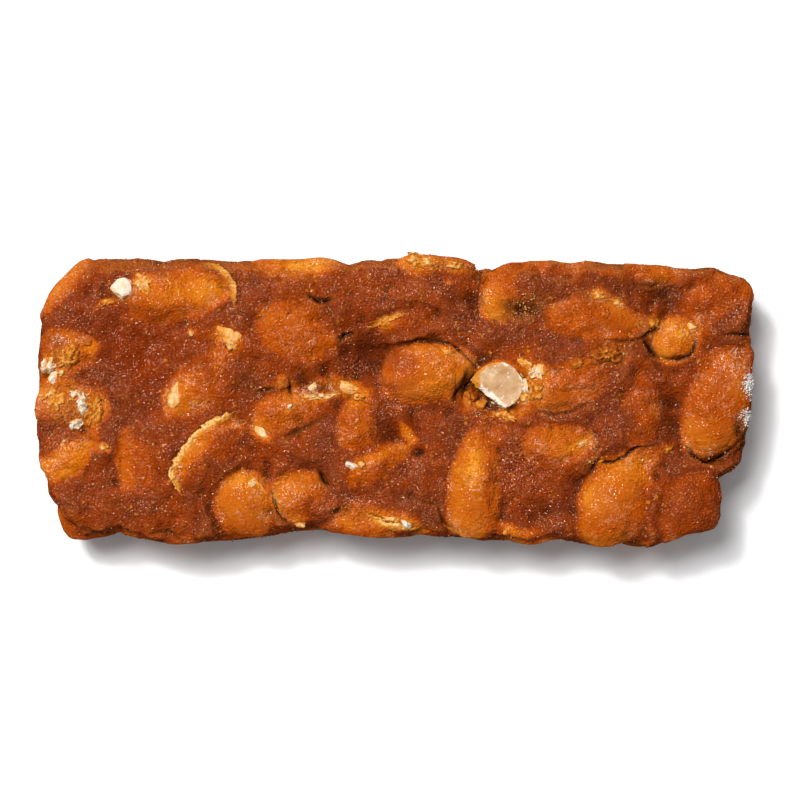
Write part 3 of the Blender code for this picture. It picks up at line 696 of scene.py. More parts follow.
def join(meshes):
    """One mesh with the faces of all of them."""
    bm = bmesh.new()
    for mesh in meshes:
        bm.from_mesh(mesh)
    joined = bpy.data.meshes.new("joined")
    bm.to_mesh(joined)
    bm.free()
    return joined


def search_tree(meshes):
    """A search tree over the meshes, in millimetres, and each face's mesh by number."""
    points, faces, owners = [], [], []
    start = 0
    for number, mesh in enumerate(meshes):
        points += points_of(mesh).tolist()
        faces += [[start + v for v in face.vertices] for face in mesh.polygons]
        owners += [number] * len(mesh.polygons)
        start += len(mesh.vertices)
    return BVHTree.FromPolygons(points, faces), np.array(owners)


def smoothstep(values, low, high):
    t = np.clip((values - low) / (high - low), 0, 1)
    return t * t * (3 - 2 * t)


def fractal(points, size, octaves, place):
    """Smooth noise of about -1 to 1, with lumps of this size."""
    moved = points / size + place
    return np.array([noise.fractal(p, NOISE_GAIN, NOISE_STEP, octaves) for p in moved.tolist()])


def uneven(points, bumps):
    """Smooth noise of about -1 to 1 of this kind; its height is left to the caller."""
    return fractal(points, bumps.size, bumps.octaves, bumps.place)


def shaken(points, kinds):
    """The points seen from above, moved by two kinds of unevenness, in x and in y."""
    moves = [bumps.height * uneven(points, bumps) for bumps in kinds]
    return points[:, :2] + np.stack(moves, 1)


def principal_axes(points):
    """Directions of the greatest, middle and least spread, as rows."""
    centred = points - points.mean(0)
    _, vectors = np.linalg.eigh(centred.T @ centred)
    return vectors.T[::-1]


# --- almonds --------------------------------------------------------------------


def cage_of(node):
    """The node's mesh with each flat face in one and its edges marked as sharp."""
    bm = bmesh.new()
    bm.from_mesh(node.data)
    bmesh.ops.remove_doubles(bm, verts=bm.verts, dist=MERGE * MM)
    bmesh.ops.dissolve_limit(
        bm, angle_limit=math.radians(FLAT_ANGLE), verts=bm.verts, edges=bm.edges
    )
    crease = bm.edges.layers.float.new("crease_edge")
    for face in bm.faces:
        if len(face.verts) > 4:
            for edge in face.edges:
                edge[crease] = FLAT_CREASE
    cage = bpy.data.meshes.new("cage")
    bm.to_mesh(cage)
    bm.free()
    return cage


def make_level(axes):
    """Sets the last axis upright and the others level."""
    axes[2] = (0, 0, 1)
    axes[:2, 2] = 0
    axes[0] /= np.linalg.norm(axes[0])
    axes[1] = np.cross(axes[2], axes[0])


def rounded(node, levels):
    """A smooth copy of a node's mesh with the same extents. A flat face stays flat."""
    cage = cage_of(node)
    mesh = evaluated(cage, ("SUBSURF", {"levels": levels, "render_levels": levels}))
    wanted, points = points_of(cage), points_of(mesh)
    axes = principal_axes(points)
    if abs(axes[2][2]) > UPRIGHT and wanted[:, 2].min() < TOUCHES_TABLE:
        make_level(axes)
    for axis in axes:
        old, new = wanted @ axis, points @ axis
        scale = np.ptp(old) / np.ptp(new)
        target = (new - new.min()) * scale + old.min()
        points += np.outer(target - new, axis)
    set_points(mesh, points)
    return mesh


def roughen(mesh):
    """Gives a smooth almond its irregular form."""
    points, normals = points_of(mesh), normals_of(mesh)
    waves = ALMOND_WAVES.height * uneven(points, ALMOND_WAVES)
    amount = waves + ALMOND_LUMPS.height * uneven(points, ALMOND_LUMPS)
    moved = points + normals * amount[:, None]
    on_table = points[:, 2] < NEAR_TABLE
    moved[on_table] = points[on_table]
    set_points(mesh, pressed_in(moved))


def middle_of(points):
    return (points.max(0) + points.min(0)) / 2


def turn_round(mesh):
    """Turns the split almond end for end about its middle, and shifts it to its place."""
    points = points_of(mesh)
    points[:, :2] = 2 * middle_of(points)[:2] - points[:, :2] + SPLIT_SHIFT
    set_points(mesh, points)


def beyond_snap(points):
    """How far the points lie beyond the line of the broken edge, and the way out there."""
    start, end = np.array(SNAP)
    way = (end - start) / np.linalg.norm(end - start)
    outward = np.array((way[1], -way[0]))
    return (points[:, :2] - start) @ outward, outward


def snap_off(mesh):
    """Gives the split almond the straight, jagged edge where it broke off."""
    points = points_of(mesh)
    beyond, outward = beyond_snap(points)
    beyond = np.maximum(beyond + SNAP_JAGS.height * uneven(points, SNAP_JAGS), 0)
    points[:, :2] -= np.outer(beyond * SNAP_SHARE, outward)
    set_points(mesh, points)


def share_of_outline(away):
    """How far out each point lies, by the outline's reach in its direction."""
    radius = np.linalg.norm(away[:, :2], axis=1)
    turns = np.arctan2(away[:, 1], away[:, 0]) / (2 * math.pi)
    spoke = np.floor(turns * RIM_SPOKES).astype(int) % RIM_SPOKES
    widest = np.array([radius[spoke == k].max(initial=1e-6) for k in range(RIM_SPOKES)])
    return radius / widest[spoke]


def set_rim(mesh):
    """Marks the split almond's chalky edge, and the golden skin at its tip."""
    points = points_of(mesh)
    away = points - middle_of(points)
    edge = smoothstep(share_of_outline(away), *RIM_EDGE)
    tip = smoothstep(-away[:, 0], *TIP_REACH)
    far_rim = edge * smoothstep(FAR_RIM_LEAN * away[:, 1] - away[:, 0], *FAR_RIM_REACH)
    chalky = smoothstep(beyond_snap(points)[0], -SNAP_WIDTH, -SNAP_CLEAR * SNAP_WIDTH)
    set_attribute(mesh, "face_edge", np.maximum(edge * RIM_CHALK, chalky))
    set_attribute(mesh, "face_tip", np.maximum(tip, far_rim))


def all_covers():
    """The cover of every almond, those of the second layer drawn at random."""
    rng = random.Random(LOWER_SEED)
    covers = dict(COVERS)
    for name in sorted(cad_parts):
        if name.startswith("almond_low"):
            film = rng.uniform(*LOWER_FILMS)
            heading = rng.uniform(0, 360)
            covers[name] = Cover(film, LOWER_LEAN, heading, rng.uniform(*LOWER_TONES))
    return covers


def pressed_in(points):
    """The points with those outside the bar's outline pressed towards it."""
    inside = np.clip(points[:, :2], -np.array(LIMITS), LIMITS)
    result = points.copy()
    result[:, :2] = inside + (points[:, :2] - inside) * PRESSED
    return result


def cover_film(points, normals, cover):
    """How thick the sugar lies on an almond that stands out."""
    heading = math.radians(cover.heading)
    side = np.array([math.cos(heading), math.sin(heading), 0])
    offset = (points - points.mean(0)) @ side
    film = cover.film - cover.lean * offset / np.abs(offset).max()
    least, growth, most = FLANK
    flank = np.clip(least + growth * film, least, most)
    film += flank * (1 - smoothstep(normals[:, 2], *ALMOND_TOP))
    film += FILM_WAVES.height * uneven(points, FILM_WAVES)
    return film


def coated(mesh, cover, sugar_tree):
    """The almond grown by the sugar that lies over it."""
    points, normals = points_of(mesh), normals_of(mesh)
    film = cover_film(points, normals, cover)
    proud = np.array([sugar_tree.find_nearest(p)[3] for p in points.tolist()])
    out = smoothstep(proud, *EMERGES)
    grown = points + normals * (SEAL * (1 - out) + film * out)[:, None]
    on_table = points[:, 2] < TABLE_LIFT * 2
    grown[on_table, 2] = np.maximum(grown[on_table, 2], TABLE_LIFT)
    grown[:, 2] = np.maximum(grown[:, 2], 0)
    result = mesh.copy()
    set_points(result, pressed_in(grown))
    return result


# --- the sugar ------------------------------------------------------------------


def thin_out(mesh, chosen, share):
    """Leaves this share of the chosen faces and merges the rest into them."""
    obj = bpy.data.objects.new("thinning", mesh)
    bpy.context.scene.collection.objects.link(obj)
    for other in bpy.context.selected_objects:
        other.select_set(False)
    bpy.context.view_layer.objects.active = obj
    obj.select_set(True)
    bpy.context.tool_settings.mesh_select_mode = (False, False, True)
    for kind in (mesh.vertices, mesh.edges):
        kind.foreach_set("select", np.zeros(len(kind), bool))
    mesh.polygons.foreach_set("select", chosen)
    bpy.ops.object.mode_set(mode="EDIT")
    bpy.ops.mesh.decimate(ratio=share)
    bpy.ops.object.mode_set(mode="OBJECT")
    bpy.data.objects.remove(obj)


def moat_round_bare(points, meshes, covers):
    """1 beside almonds that stand bare, down to 0 away from them and beside covered ones."""
    names = sorted(meshes)
    tree, owners = search_tree([meshes[n] for n in names])
    bare = np.array([smoothstep(-covers[n].film, *BARE) for n in names])
    moat = []
    for point in points.tolist():
        _, _, face, distance = tree.find_nearest(point)
        moat.append(bare[owners[face]] * math.exp(-((distance / MOAT[1]) ** 2)))
    return np.array(moat)


def raised_slab(slab, meshes, covers):
    """The slab with more sugar on its top and sides, and less beside bare almonds."""
    bm = bmesh.new()
    bm.from_mesh(slab)
    bmesh.ops.remove_doubles(bm, verts=bm.verts, dist=MERGE * MM)
    whole = bpy.data.meshes.new("whole")
    bm.to_mesh(whole)
    bm.free()
    raised = evaluated(whole, divided(2))
    points, normals = points_of(raised), normals_of(raised)
    amount = RAISE[1] + (RAISE[0] - RAISE[1]) * smoothstep(normals[:, 2], *SLAB_TOP)
    moat = moat_round_bare(points, meshes, covers)
    amount *= (1 - MOAT[0] * moat) * smoothstep(points[:, 2], *SLAB_FOOT)
    set_points(raised, pressed_in(points + normals * amount[:, None]))
    return raised


def relaxed(mesh, steps):
    """The mesh's points after moving each to the mean of its neighbours, again and again."""
    points = points_of(mesh)
    edges = np.empty(len(mesh.edges) * 2, int)
    mesh.edges.foreach_get("vertices", edges)
    a, b = edges.reshape(-1, 2).T
    count = np.bincount(a, minlength=len(points)) + np.bincount(b, minlength=len(points))
    for _ in range(steps):
        total = np.zeros_like(points)
        for axis in range(3):
            total[:, axis] += np.bincount(a, points[b, axis], len(points))
            total[:, axis] += np.bincount(b, points[a, axis], len(points))
        points = total / np.maximum(count, 1)[:, None]
    return points


def fill_valleys(skin):
    """Rounds off the creases between almonds, most of all round the outline."""
    points, normals = points_of(skin), normals_of(skin)
    near, far = (
        np.maximum(np.einsum("ij,ij->i", relaxed(skin, steps) - points, normals), 0)
        for steps in FILL_STEPS
    )
    top = smoothstep(normals[:, 2], *FILLED_TOP)
    shift = near * top + far * (1 - top)
    above_table = smoothstep(points[:, 2], *FILLED_FOOT)
    points += normals * (FILL_SHARE * shift * above_table)[:, None]
    set_points(skin, points)


def pit_underneath(skin):
    """Moves the points of the flat underside up into shallow waves and pits."""
    points, normals = points_of(skin), normals_of(skin)
    under = (points[:, 2] < UNDERSIDE) & (normals[:, 2] < FACES_DOWN)
    waves = UNDER_WAVES.height * (1 + uneven(points[under], UNDER_WAVES))
    pits = PITS.height * smoothstep(uneven(points[under], PITS), *PIT_RANGE)
    points[under, 2] = np.maximum(waves + pits, 0)
    set_points(skin, points)


def thin_out_unseen(skin):
    """Leaves fewer faces on the underside and on the sides."""
    normals, centres = face_normals_and_centres(skin)
    low = (normals[:, 2] < FACES_DOWN) & (centres[:, 2] < THINNED_UNDERSIDE)
    thin_out(skin, low, UNDERSIDE_SHARE)
    normals, centres = face_normals_and_centres(skin)
    sides = (normals[:, 2] < FACES_SIDEWAYS) & (centres[:, 2] > THINNED_SIDES)
    thin_out(skin, sides, SIDE_SHARE)


def sugar_body(covers, meshes):
    """The slab and the coated almonds as one closed, evenly meshed skin."""
    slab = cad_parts["sugar"].data
    sugar_tree, _ = search_tree([slab])
    parts = [raised_slab(slab, meshes, covers)]
    parts += [coated(meshes[n], covers[n], sugar_tree) for n in sorted(meshes)]
    remesh = {"mode": "VOXEL", "voxel_size": VOXEL * MM}
    skin = evaluated(join(parts), ("REMESH", remesh), ("SMOOTH", SMOOTHING))
    fill_valleys(skin)
    pit_underneath(skin)
    thin_out_unseen(skin)
    return skin


# --- the outline ----------------------------------------------------------------


def place_and_reach(points):
    """Each point's place round the spine, counted on from one to the next, and distance."""
    along = np.clip(points[:, 0], -SPINE, SPINE)
    dx, dy = points[:, 0] - along, points[:, 1]
    steps, turns = 2 * SPINE / SPACING, 180 / FAN
    angle = np.degrees(np.arctan2(dy, dx))
    far = (along + SPINE) / SPACING
    near = 2 * steps + turns - far
    right = steps + (90 - angle) / FAN
    left = 2 * steps + turns + ((-90 - angle) % 360) / FAN
    place = np.where(dx > 0, right, np.where(dx < 0, left, np.where(dy > 0, far, near)))
    return place, np.hypot(dx, dy)


def smooth_line(points):
    """Points of a smooth curve through the given ones."""
    ends = [2 * np.array(points[0]) - points[1], *map(np.array, points)]
    ends.append(2 * np.array(points[-1]) - points[-2])
    line = []
    for a, b, c, d in zip(ends, ends[1:], ends[2:], ends[3:]):
        for t in np.linspace(0, 1, LINE_STEPS, endpoint=False):
            line.append(
                0.5 * (2 * b + (c - a) * t + (2 * a - 5 * b + 4 * c - d) * t**2
                       + (3 * b - a - 3 * c + d) * t**3)
            )
    return np.array(line + [ends[-2]])


def outline_correction(points):
    """How far out the points reach at each place, and how much further they have to."""
    place, reach = place_and_reach(points)
    widest = np.zeros(PLACES)
    np.maximum.at(widest, place.astype(int) % PLACES, reach)
    curve = smooth_line(OUTLINE + OUTLINE[:1]) * SEEN_SMALLER
    wanted = np.interp(np.arange(PLACES) + 0.5, *place_and_reach(curve), period=PLACES)
    return widest, wanted - widest


def fitted(points, widest, correction):
    """The points with those near the outline moved so that it gets its form."""
    place, reach = place_and_reach(points)
    here = np.arange(PLACES) + 0.5
    edge = np.interp(place, here, widest, period=PLACES)
    shift = np.interp(place, here, correction, period=PLACES)
    shift *= smoothstep(reach, edge - OUTER_BAND, edge)
    inward = edge - reach
    shift += inward * (1 - SHOULDER) * (1 - smoothstep(inward, 0, OUTER_BAND))
    spine = np.clip(points[:, 0], -SPINE, SPINE)
    out = np.stack([points[:, 0] - spine, points[:, 1]], 1) / np.maximum(reach, 1)[:, None]
    result = points.copy()
    result[:, :2] += out * shift[:, None]
    return result


# --- marks and relief -----------------------------------------------------------


def reach_of(points, patch):
    """The square of each point's distance, seen from above; the patch's edge is at 1."""
    heading = math.radians(patch.heading)
    dx, dy = points[:, 0] - patch.x, points[:, 1] - patch.y
    along = dx * math.cos(heading) + dy * math.sin(heading)
    across = dy * math.cos(heading) - dx * math.sin(heading)
    return (2 * along / patch.length) ** 2 + (2 * across / patch.width) ** 2


def patch_mask(points, patches):
    """How strongly the patches apply at each point, seen from above."""
    total = np.zeros(len(points))
    for patch in patches:
        total = np.maximum(total, patch.strength * np.exp(-reach_of(points, patch)))
    return total


def film_over(skin, tree, owners, tones):
    """Thickness of sugar over the nearest almond, and that almond's tone."""
    film, tone = [], []
    for point in points_of(skin).tolist():
        near, normal, face, distance = tree.find_nearest(point)
        outside = (Vector(point) - near).dot(normal) > 0
        film.append(distance if outside else -distance)
        tone.append(tones[owners[face]])
    return np.array(film), np.array(tone)


def set_film(mesh, film, tone):
    """Stores film and tone on the mesh, with the glows of its top worked in."""
    points, normals = points_of(mesh), normals_of(mesh)
    film, tone = np.clip(film, *FILM_RANGE), np.array(tone, float)
    top = smoothstep(normals[:, 2], *ON_TOP)
    moved = shaken(points, UNEVEN)
    for glow in GLOWS:
        share = top * np.exp(-(reach_of(moved, glow) ** glow.edge))
        film += (glow.film - film) * share
        tone += (glow.tone - tone) * share
    for chip in CHIPS:
        share = top * np.exp(-reach_of(moved, chip) / HALO_REACH) * (chip.pale < WHITE)
        film += (HALO_FILM - film) * share
        tone += (HALO_TONE - tone) * share
    set_attribute(mesh, "film", film)
    set_attribute(mesh, "tone", tone)


def set_film_above(almond, skin_tree, tone):
    """The same on an almond: below 0 where it stands out of the sugar."""
    film = []
    for point in points_of(almond).tolist():
        near, normal, _, distance = skin_tree.find_nearest(point)
        outside = (Vector(point) - near).dot(normal) > 0
        film.append(-distance if outside else distance)
    set_film(almond, film, [tone] * len(film))


def beside(flat, line, reach):
    """Where points lie by one line: which are close, how near, and how far to its left."""
    track = smooth_line(line.points)
    low, high = track.min(0) - LINE_MARGIN, track.max(0) + LINE_MARGIN
    close = np.flatnonzero(np.all((flat > low) & (flat < high), axis=1))
    gaps = flat[close, None, :] - track[None, :, :]
    distances = np.linalg.norm(gaps, axis=2)
    nearest, distance = distances.argmin(1), distances.min(1)
    half_wave = np.sin(np.linspace(*TAPER, len(track)) * math.pi)
    nearness = half_wave[nearest] ** 0.5 * (1 - smoothstep(distance, *reach))
    way = np.gradient(track, axis=0)[nearest]
    gap = gaps[np.arange(len(close)), nearest]
    left = np.sign(way[:, 0] * gap[:, 1] - way[:, 1] * gap[:, 0])
    return close, nearness, np.clip(left * distance / line.width, -FAR_SIDE, FAR_SIDE)


def traced(points, lines, reach):
    """Where each point lies by the nearest of the lines, seen from above.

    Gives its distance in the line's widths, above 0 on the line's left, how near that
    line is, from 1 on it to 0 beside it and beyond its ends, and the line's number.
    """
    flat = shaken(points, JAGGED)
    side = np.full(len(points), FAR_SIDE)
    near, number = np.zeros(len(points)), np.zeros(len(points), int)
    for rank, line in enumerate(lines):
        close, nearness, aside = beside(flat, line, reach)
        better = nearness > near[close]
        chosen = close[better]
        near[chosen], number[chosen], side[chosen] = nearness[better], rank, aside[better]
    return side, near, number


def set_cracks(points, mesh, top):
    """Marks the cracks, and gives how deep the surface sinks into them."""
    side, near, number = traced(points, CRACKS, CRACK_REACH)
    width, depth = np.array([(c.width, c.depth) for c in CRACKS])[number].T
    set_attribute(mesh, "crack_side", side)
    set_attribute(mesh, "crack", near * top * np.clip(depth / DEEP_CRACK, 0, 1))
    distance = np.abs(side) * width
    mouth = np.exp(-((distance / np.maximum(width, CRACK_MOUTH)) ** 2))
    return CRACK_DEPTH * depth * near * top * mouth


def set_rims(points, mesh, top):
    """Marks the pale edges, and gives how high they stand."""
    side, near, number = traced(points, RIMS, RIM_REACH)
    pale = np.array([rim.pale for rim in RIMS])[number]
    set_attribute(mesh, "rim_side", side)
    set_attribute(mesh, "rim", near * top * pale)
    return RIM_HEIGHT * near * top * pale * np.exp(-(side**2))


def set_lines(mesh):
    """Marks cracks and pale edges, and gives the relief that they need."""
    points = points_of(mesh)
    top = smoothstep(normals_of(mesh)[:, 2], *ON_TOP)
    valley = set_cracks(points, mesh, top)
    return set_rims(points, mesh, top) - valley


def set_cavity(mesh):
    """Marks hollows above 0 and ridges below 0, at the size of a few grains."""
    points, normals = points_of(mesh), normals_of(mesh)
    for name, (steps, depth) in (("cavity", CAVITY), ("fine_cavity", FINE_CAVITY)):
        inward = np.einsum("ij,ij->i", relaxed(mesh, steps) - points, normals)
        set_attribute(mesh, name, np.clip(inward / depth, -1, 1))


def set_patches(mesh):
    """Marks the patches on top, and where a painted highlight lies on the upper edge of the bar's far
    side.
    """
    points, normals = points_of(mesh), normals_of(mesh)
    turned = smoothstep(normals[:, 1], *FAR_EDGE_TURN)
    far_edge_sheen = turned * smoothstep(points[:, 1], *FAR_EDGE_PLACE)
    set_attribute(mesh, "far_edge_sheen", far_edge_sheen * smoothstep(normals[:, 2], *FAR_EDGE_UP))
    for name, patches in (("wet", WET), ("dark", DARK), ("painted_glints", FROST_AND_GLINTS), ("sandy", SANDY)):
        set_attribute(mesh, name, patch_mask(points, patches))


def sugar_relief(points, film):
    """Waves, lumps and grain, less of them in glassy places and more in sandy ones."""
    wet, sandy = patch_mask(points, WET), patch_mask(points, SANDY)
    calm = 1 - WET_CALM * wet
    grainy = SANDY_GRAIN[0] + SANDY_GRAIN[1] * sandy
    dips = np.minimum(0, uneven(points, DIPS))
    relief = WAVES.height * uneven(points, WAVES)
    relief += LUMPS.height * uneven(points, LUMPS) * calm
    relief += DIPS.height * smoothstep(film, *DEEP) * dips * calm
    relief += GRAIN.height * uneven(points, GRAIN) * grainy * calm
    relief += CRUST.height * sandy * np.abs(uneven(points, CRUST))
    return relief


def shape_surface(skin, film):
    """Gives the smooth skin its relief, with hollows and cracks on top and dented sides."""
    points, normals = points_of(skin), normals_of(skin)
    relief = sugar_relief(points, film)
    top = smoothstep(normals[:, 2], *TOP_RELIEF)
    relief += top * (patch_mask(points, MOUNDS) - patch_mask(points, HOLLOWS))
    dents = smoothstep(uneven(points, SIDE_DENTS), *DENT_RANGE)
    relief -= SIDE_DENTS.height * dents * (1 - smoothstep(normals[:, 2], *SIDE_RELIEF))
    relief += set_lines(skin)
    relief *= smoothstep(points[:, 2], *STILL)
    moved = points + normals * relief[:, None]
    moved[:, 2] = np.maximum(moved[:, 2], 0)
    set_points(skin, moved)


# --- loose bits -----------------------------------------------------------------


class Heap:
    """Collects many small closed shapes into one mesh, with one number for each shape."""

    def __init__(self):
        self.points, self.faces, self.shades = [], [], []
        self.count = 0

    def add(self, points, faces, shade):
        self.points.append(points)
        self.faces += [[v + self.count for v in face] for face in faces]
        self.shades.append(np.zeros(len(points)) + shade)
        self.count += len(points)

    def mesh(self, name):
        mesh = mesh_from(name, np.concatenate(self.points), self.faces)
        set_attribute(mesh, "shade", np.concatenate(self.shades))
        return mesh


def hull(points):
    """The convex hull of the points as points and triangles."""
    bm = bmesh.new()
    for point in points:
        bm.verts.new(point)
    made = bmesh.ops.convex_hull(bm, input=bm.verts)
    inner = set(made["geom_interior"]) | set(made["geom_unused"])
    bmesh.ops.delete(bm, geom=list(inner), context="VERTS")
    bm.verts.index_update()
    result = np.array([v.co for v in bm.verts]), [[v.index for v in f.verts] for f in bm.faces]
    bm.free()
    return result


def broken_shape(rng, corners):
    """An angular lump that fills a box from -0.5 to 0.5."""
    points = []
    while len(points) < corners:
        point = np.array([rng.uniform(-1, 1) for _ in range(3)])
        length = np.linalg.norm(point)
        if length > CORNER_LEAST:
            points.append(point / length * rng.uniform(*CORNER_REACH))
    points, faces = hull(points)
    return (points - points.min(0)) / np.ptp(points, axis=0) - 0.5, faces


def worn_shape(rng, size):
    """A broken lump with softened edges and a chalky, uneven surface."""
    points, faces = broken_shape(rng, WORN_CORNERS)
    mesh = mesh_from("lump", points * size, faces)
    bevel = {"width": WORN_BEVEL * min(size) * MM, "segments": 2, "limit_method": "ANGLE"}
    fine = evaluated(mesh, ("BEVEL", bevel), ("TRIANGULATE", {}), divided(2))
    points, normals = points_of(fine), normals_of(fine)
    place = rng.uniform(*NOISE_PLACES)
    waves = fractal(points, WORN_BUMPS.size, WORN_BUMPS.octaves, place)
    points += normals * (WORN_BUMPS.height * waves)[:, None]
    return points, [list(face.vertices) for face in fine.polygons]


def turn(points, x=0.0, y=0.0, z=0.0):
    matrix = np.array(Euler([math.radians(a) for a in (x, y, z)]).to_matrix())
    return points @ matrix.T


def surface_height(tree, x, y):
    """Height of the surface there, or None beside the bar."""
    hit = tree.ray_cast((x, y, RAY_START), (0, 0, -1))[0]
    return hit.z if hit else None


def disc_faces(rings, spokes):
    """A disc of rings round a middle point, with one face underneath that closes it."""
    faces = [[0, 1 + k, 1 + (k + 1) % spokes] for k in range(spokes)]
    for row in range(rings - 1):
        for k in range(spokes):
            a, b = 1 + row * spokes + k, 1 + row * spokes + (k + 1) % spokes
            faces.append([a, a + spokes, b + spokes, b])
    outer = 1 + (rings - 1) * spokes
    faces.append(list(range(outer, outer + spokes))[::-1])
    return faces


def laid_on(flat, lift, tree, chip):
    """The points at their lift over the surface, hanging down a little where it drops."""
    middle = surface_height(tree, chip.x, chip.y)
    points = flat.copy()
    for k, (x, y, _) in enumerate(flat.tolist()):
        height = surface_height(tree, x, y)
        if height is None:
            points[k, 2] = lift[k] + (middle - FLAKE_DROP[0])
        else:
            points[k, 2] = lift[k] + max(height, middle - FLAKE_DROP[1])
    return points


def crust_shape(rng, chip, tree):
    """A rough flake that follows the surface under it, with a shade for each point."""
    rings = max(FLAKE_RINGS, round(max(chip.length, chip.width) / 2 / FLAKE_STEP))
    around = math.pi * (chip.length + chip.width) / 2
    spokes = max(FLAKE_SPOKES, round(around / FLAKE_STEP))
    share = np.append(0, np.repeat(np.arange(1, rings + 1) / rings, spokes))
    angle = np.append(0, np.tile(np.arange(spokes) * 2 * math.pi / spokes, rings))
    start = rng.uniform(*NOISE_PLACES)
    ring = np.stack([np.cos(angle), np.sin(angle), np.full(len(angle), start)], 1)
    reach = share * (1 + FLAKE_OUTLINE.height * uneven(ring, FLAKE_OUTLINE)) / 2
    flat = ring * reach[:, None] * (chip.length, chip.width, 0)
    flat = turn(flat, z=chip.heading) + (chip.x, chip.y, start)
    rough = fractal(flat, FLAKE_ROUGH.size, FLAKE_ROUGH.octaves, start)
    thickness = chip.height * (FLAKE_LIFT + FLAKE_ROUGH.height * rough)
    lift = thickness * np.sqrt(1 - share**4) - FLAKE_EDGE * share
    shade = chip.pale + FLAKE_SHADES[0] * rough - FLAKE_SHADES[1] * share**3
    return laid_on(flat, lift, tree, chip), disc_faces(rings, spokes), shade


def crumbly_grains(rng, size):
    """Small broken grains that lie on a flat heap of this size, each with a small shade."""
    least, most, shift = CRUMBLE_RISE
    count = int(CRUMBLE_COUNT[0] + CRUMBLE_COUNT[1] * size[0] * size[1])
    for _ in range(count):
        angle, reach = rng.uniform(0, 2 * math.pi), math.sqrt(rng.random())
        rise = (1 - reach**2) * rng.uniform(least, most) + shift
        place = (math.cos(angle) * reach / 2, math.sin(angle) * reach / 2, rise / 2)
        points, faces = broken_shape(rng, GRAIN_CORNERS)
        points = turn(points, *[rng.uniform(0, 360) for _ in range(3)])
        grain = points * rng.uniform(*CRUMBLE) + np.array(place) * size
        yield grain, faces, rng.uniform(-CRUMBLE_SHADE, CRUMBLE_SHADE)


def add_on_surface(heap, chip, tree, points, faces, shade):
    """Adds one of a chip's shapes, darker towards its foot, unless it lies beside the bar."""
    points = turn(points, z=chip.heading)
    middle = points.mean(0)
    height = surface_height(tree, chip.x + middle[0], chip.y + middle[1])
    if height is None:
        return
    spot = (chip.x, chip.y, height + chip.height * SINK)
    low = np.clip((points[:, 2] / chip.height + 0.5) / CHIP_FOOT, 0, 1)
    heap.add(points + spot, faces, chip.pale + shade - CHIP_SHADE * (1 - low))


def make_chips(tree):
    rng = random.Random(CHIP_SEED)
    heap = Heap()
    for chip in CHIPS:
        size = np.array((chip.length, chip.width, chip.height))
        if chip.kind == "solid":
            shapes = [(*worn_shape(rng, size), 0.0)]
        else:
            heap.add(*crust_shape(rng, chip, tree))
            shapes = crumbly_grains(rng, size)
        for shape in shapes:
            add_on_surface(heap, chip, tree, *shape)
    return heap.mesh("almond_chips")


def random_places(mesh, weights, count, rng):
    """Points on the mesh's faces, the heavier ones more often, with their normals."""
    chosen = rng.choice(len(mesh.polygons), count, p=weights / weights.sum())
    normals, centres = face_normals_and_centres(mesh)
    return centres[chosen] + rng.uniform(-JITTER, JITTER, (count, 3)), normals[chosen]


def scattered(name, mesh, weights, scatter):
    """Small broken lumps, half sunk into the surface."""
    rng = np.random.default_rng(scatter.seed)
    seeds = range(scatter.seed, scatter.seed + SHAPES)
    shapes = [broken_shape(random.Random(seed), CRYSTAL_CORNERS) for seed in seeds]
    places, normals = random_places(mesh, weights, scatter.count, rng)
    low, high = scatter.sizes
    heap = Heap()
    for place, normal in zip(places, normals):
        points, faces = shapes[rng.integers(len(shapes))]
        size = low + (high - low) * rng.random() ** 2
        stretched = points * size * rng.uniform(*STRETCH, 3)
        angles = rng.uniform(0, 360, 3)
        spot = place + normal * size * (0.5 - SUNK) * STANDS_OUT
        spot[2] = max(spot[2], size * STANDS_OUT)
        heap.add(turn(stretched, *angles) + spot, faces, rng.random())
    return heap.mesh(name)


# --- materials ------------------------------------------------------------------


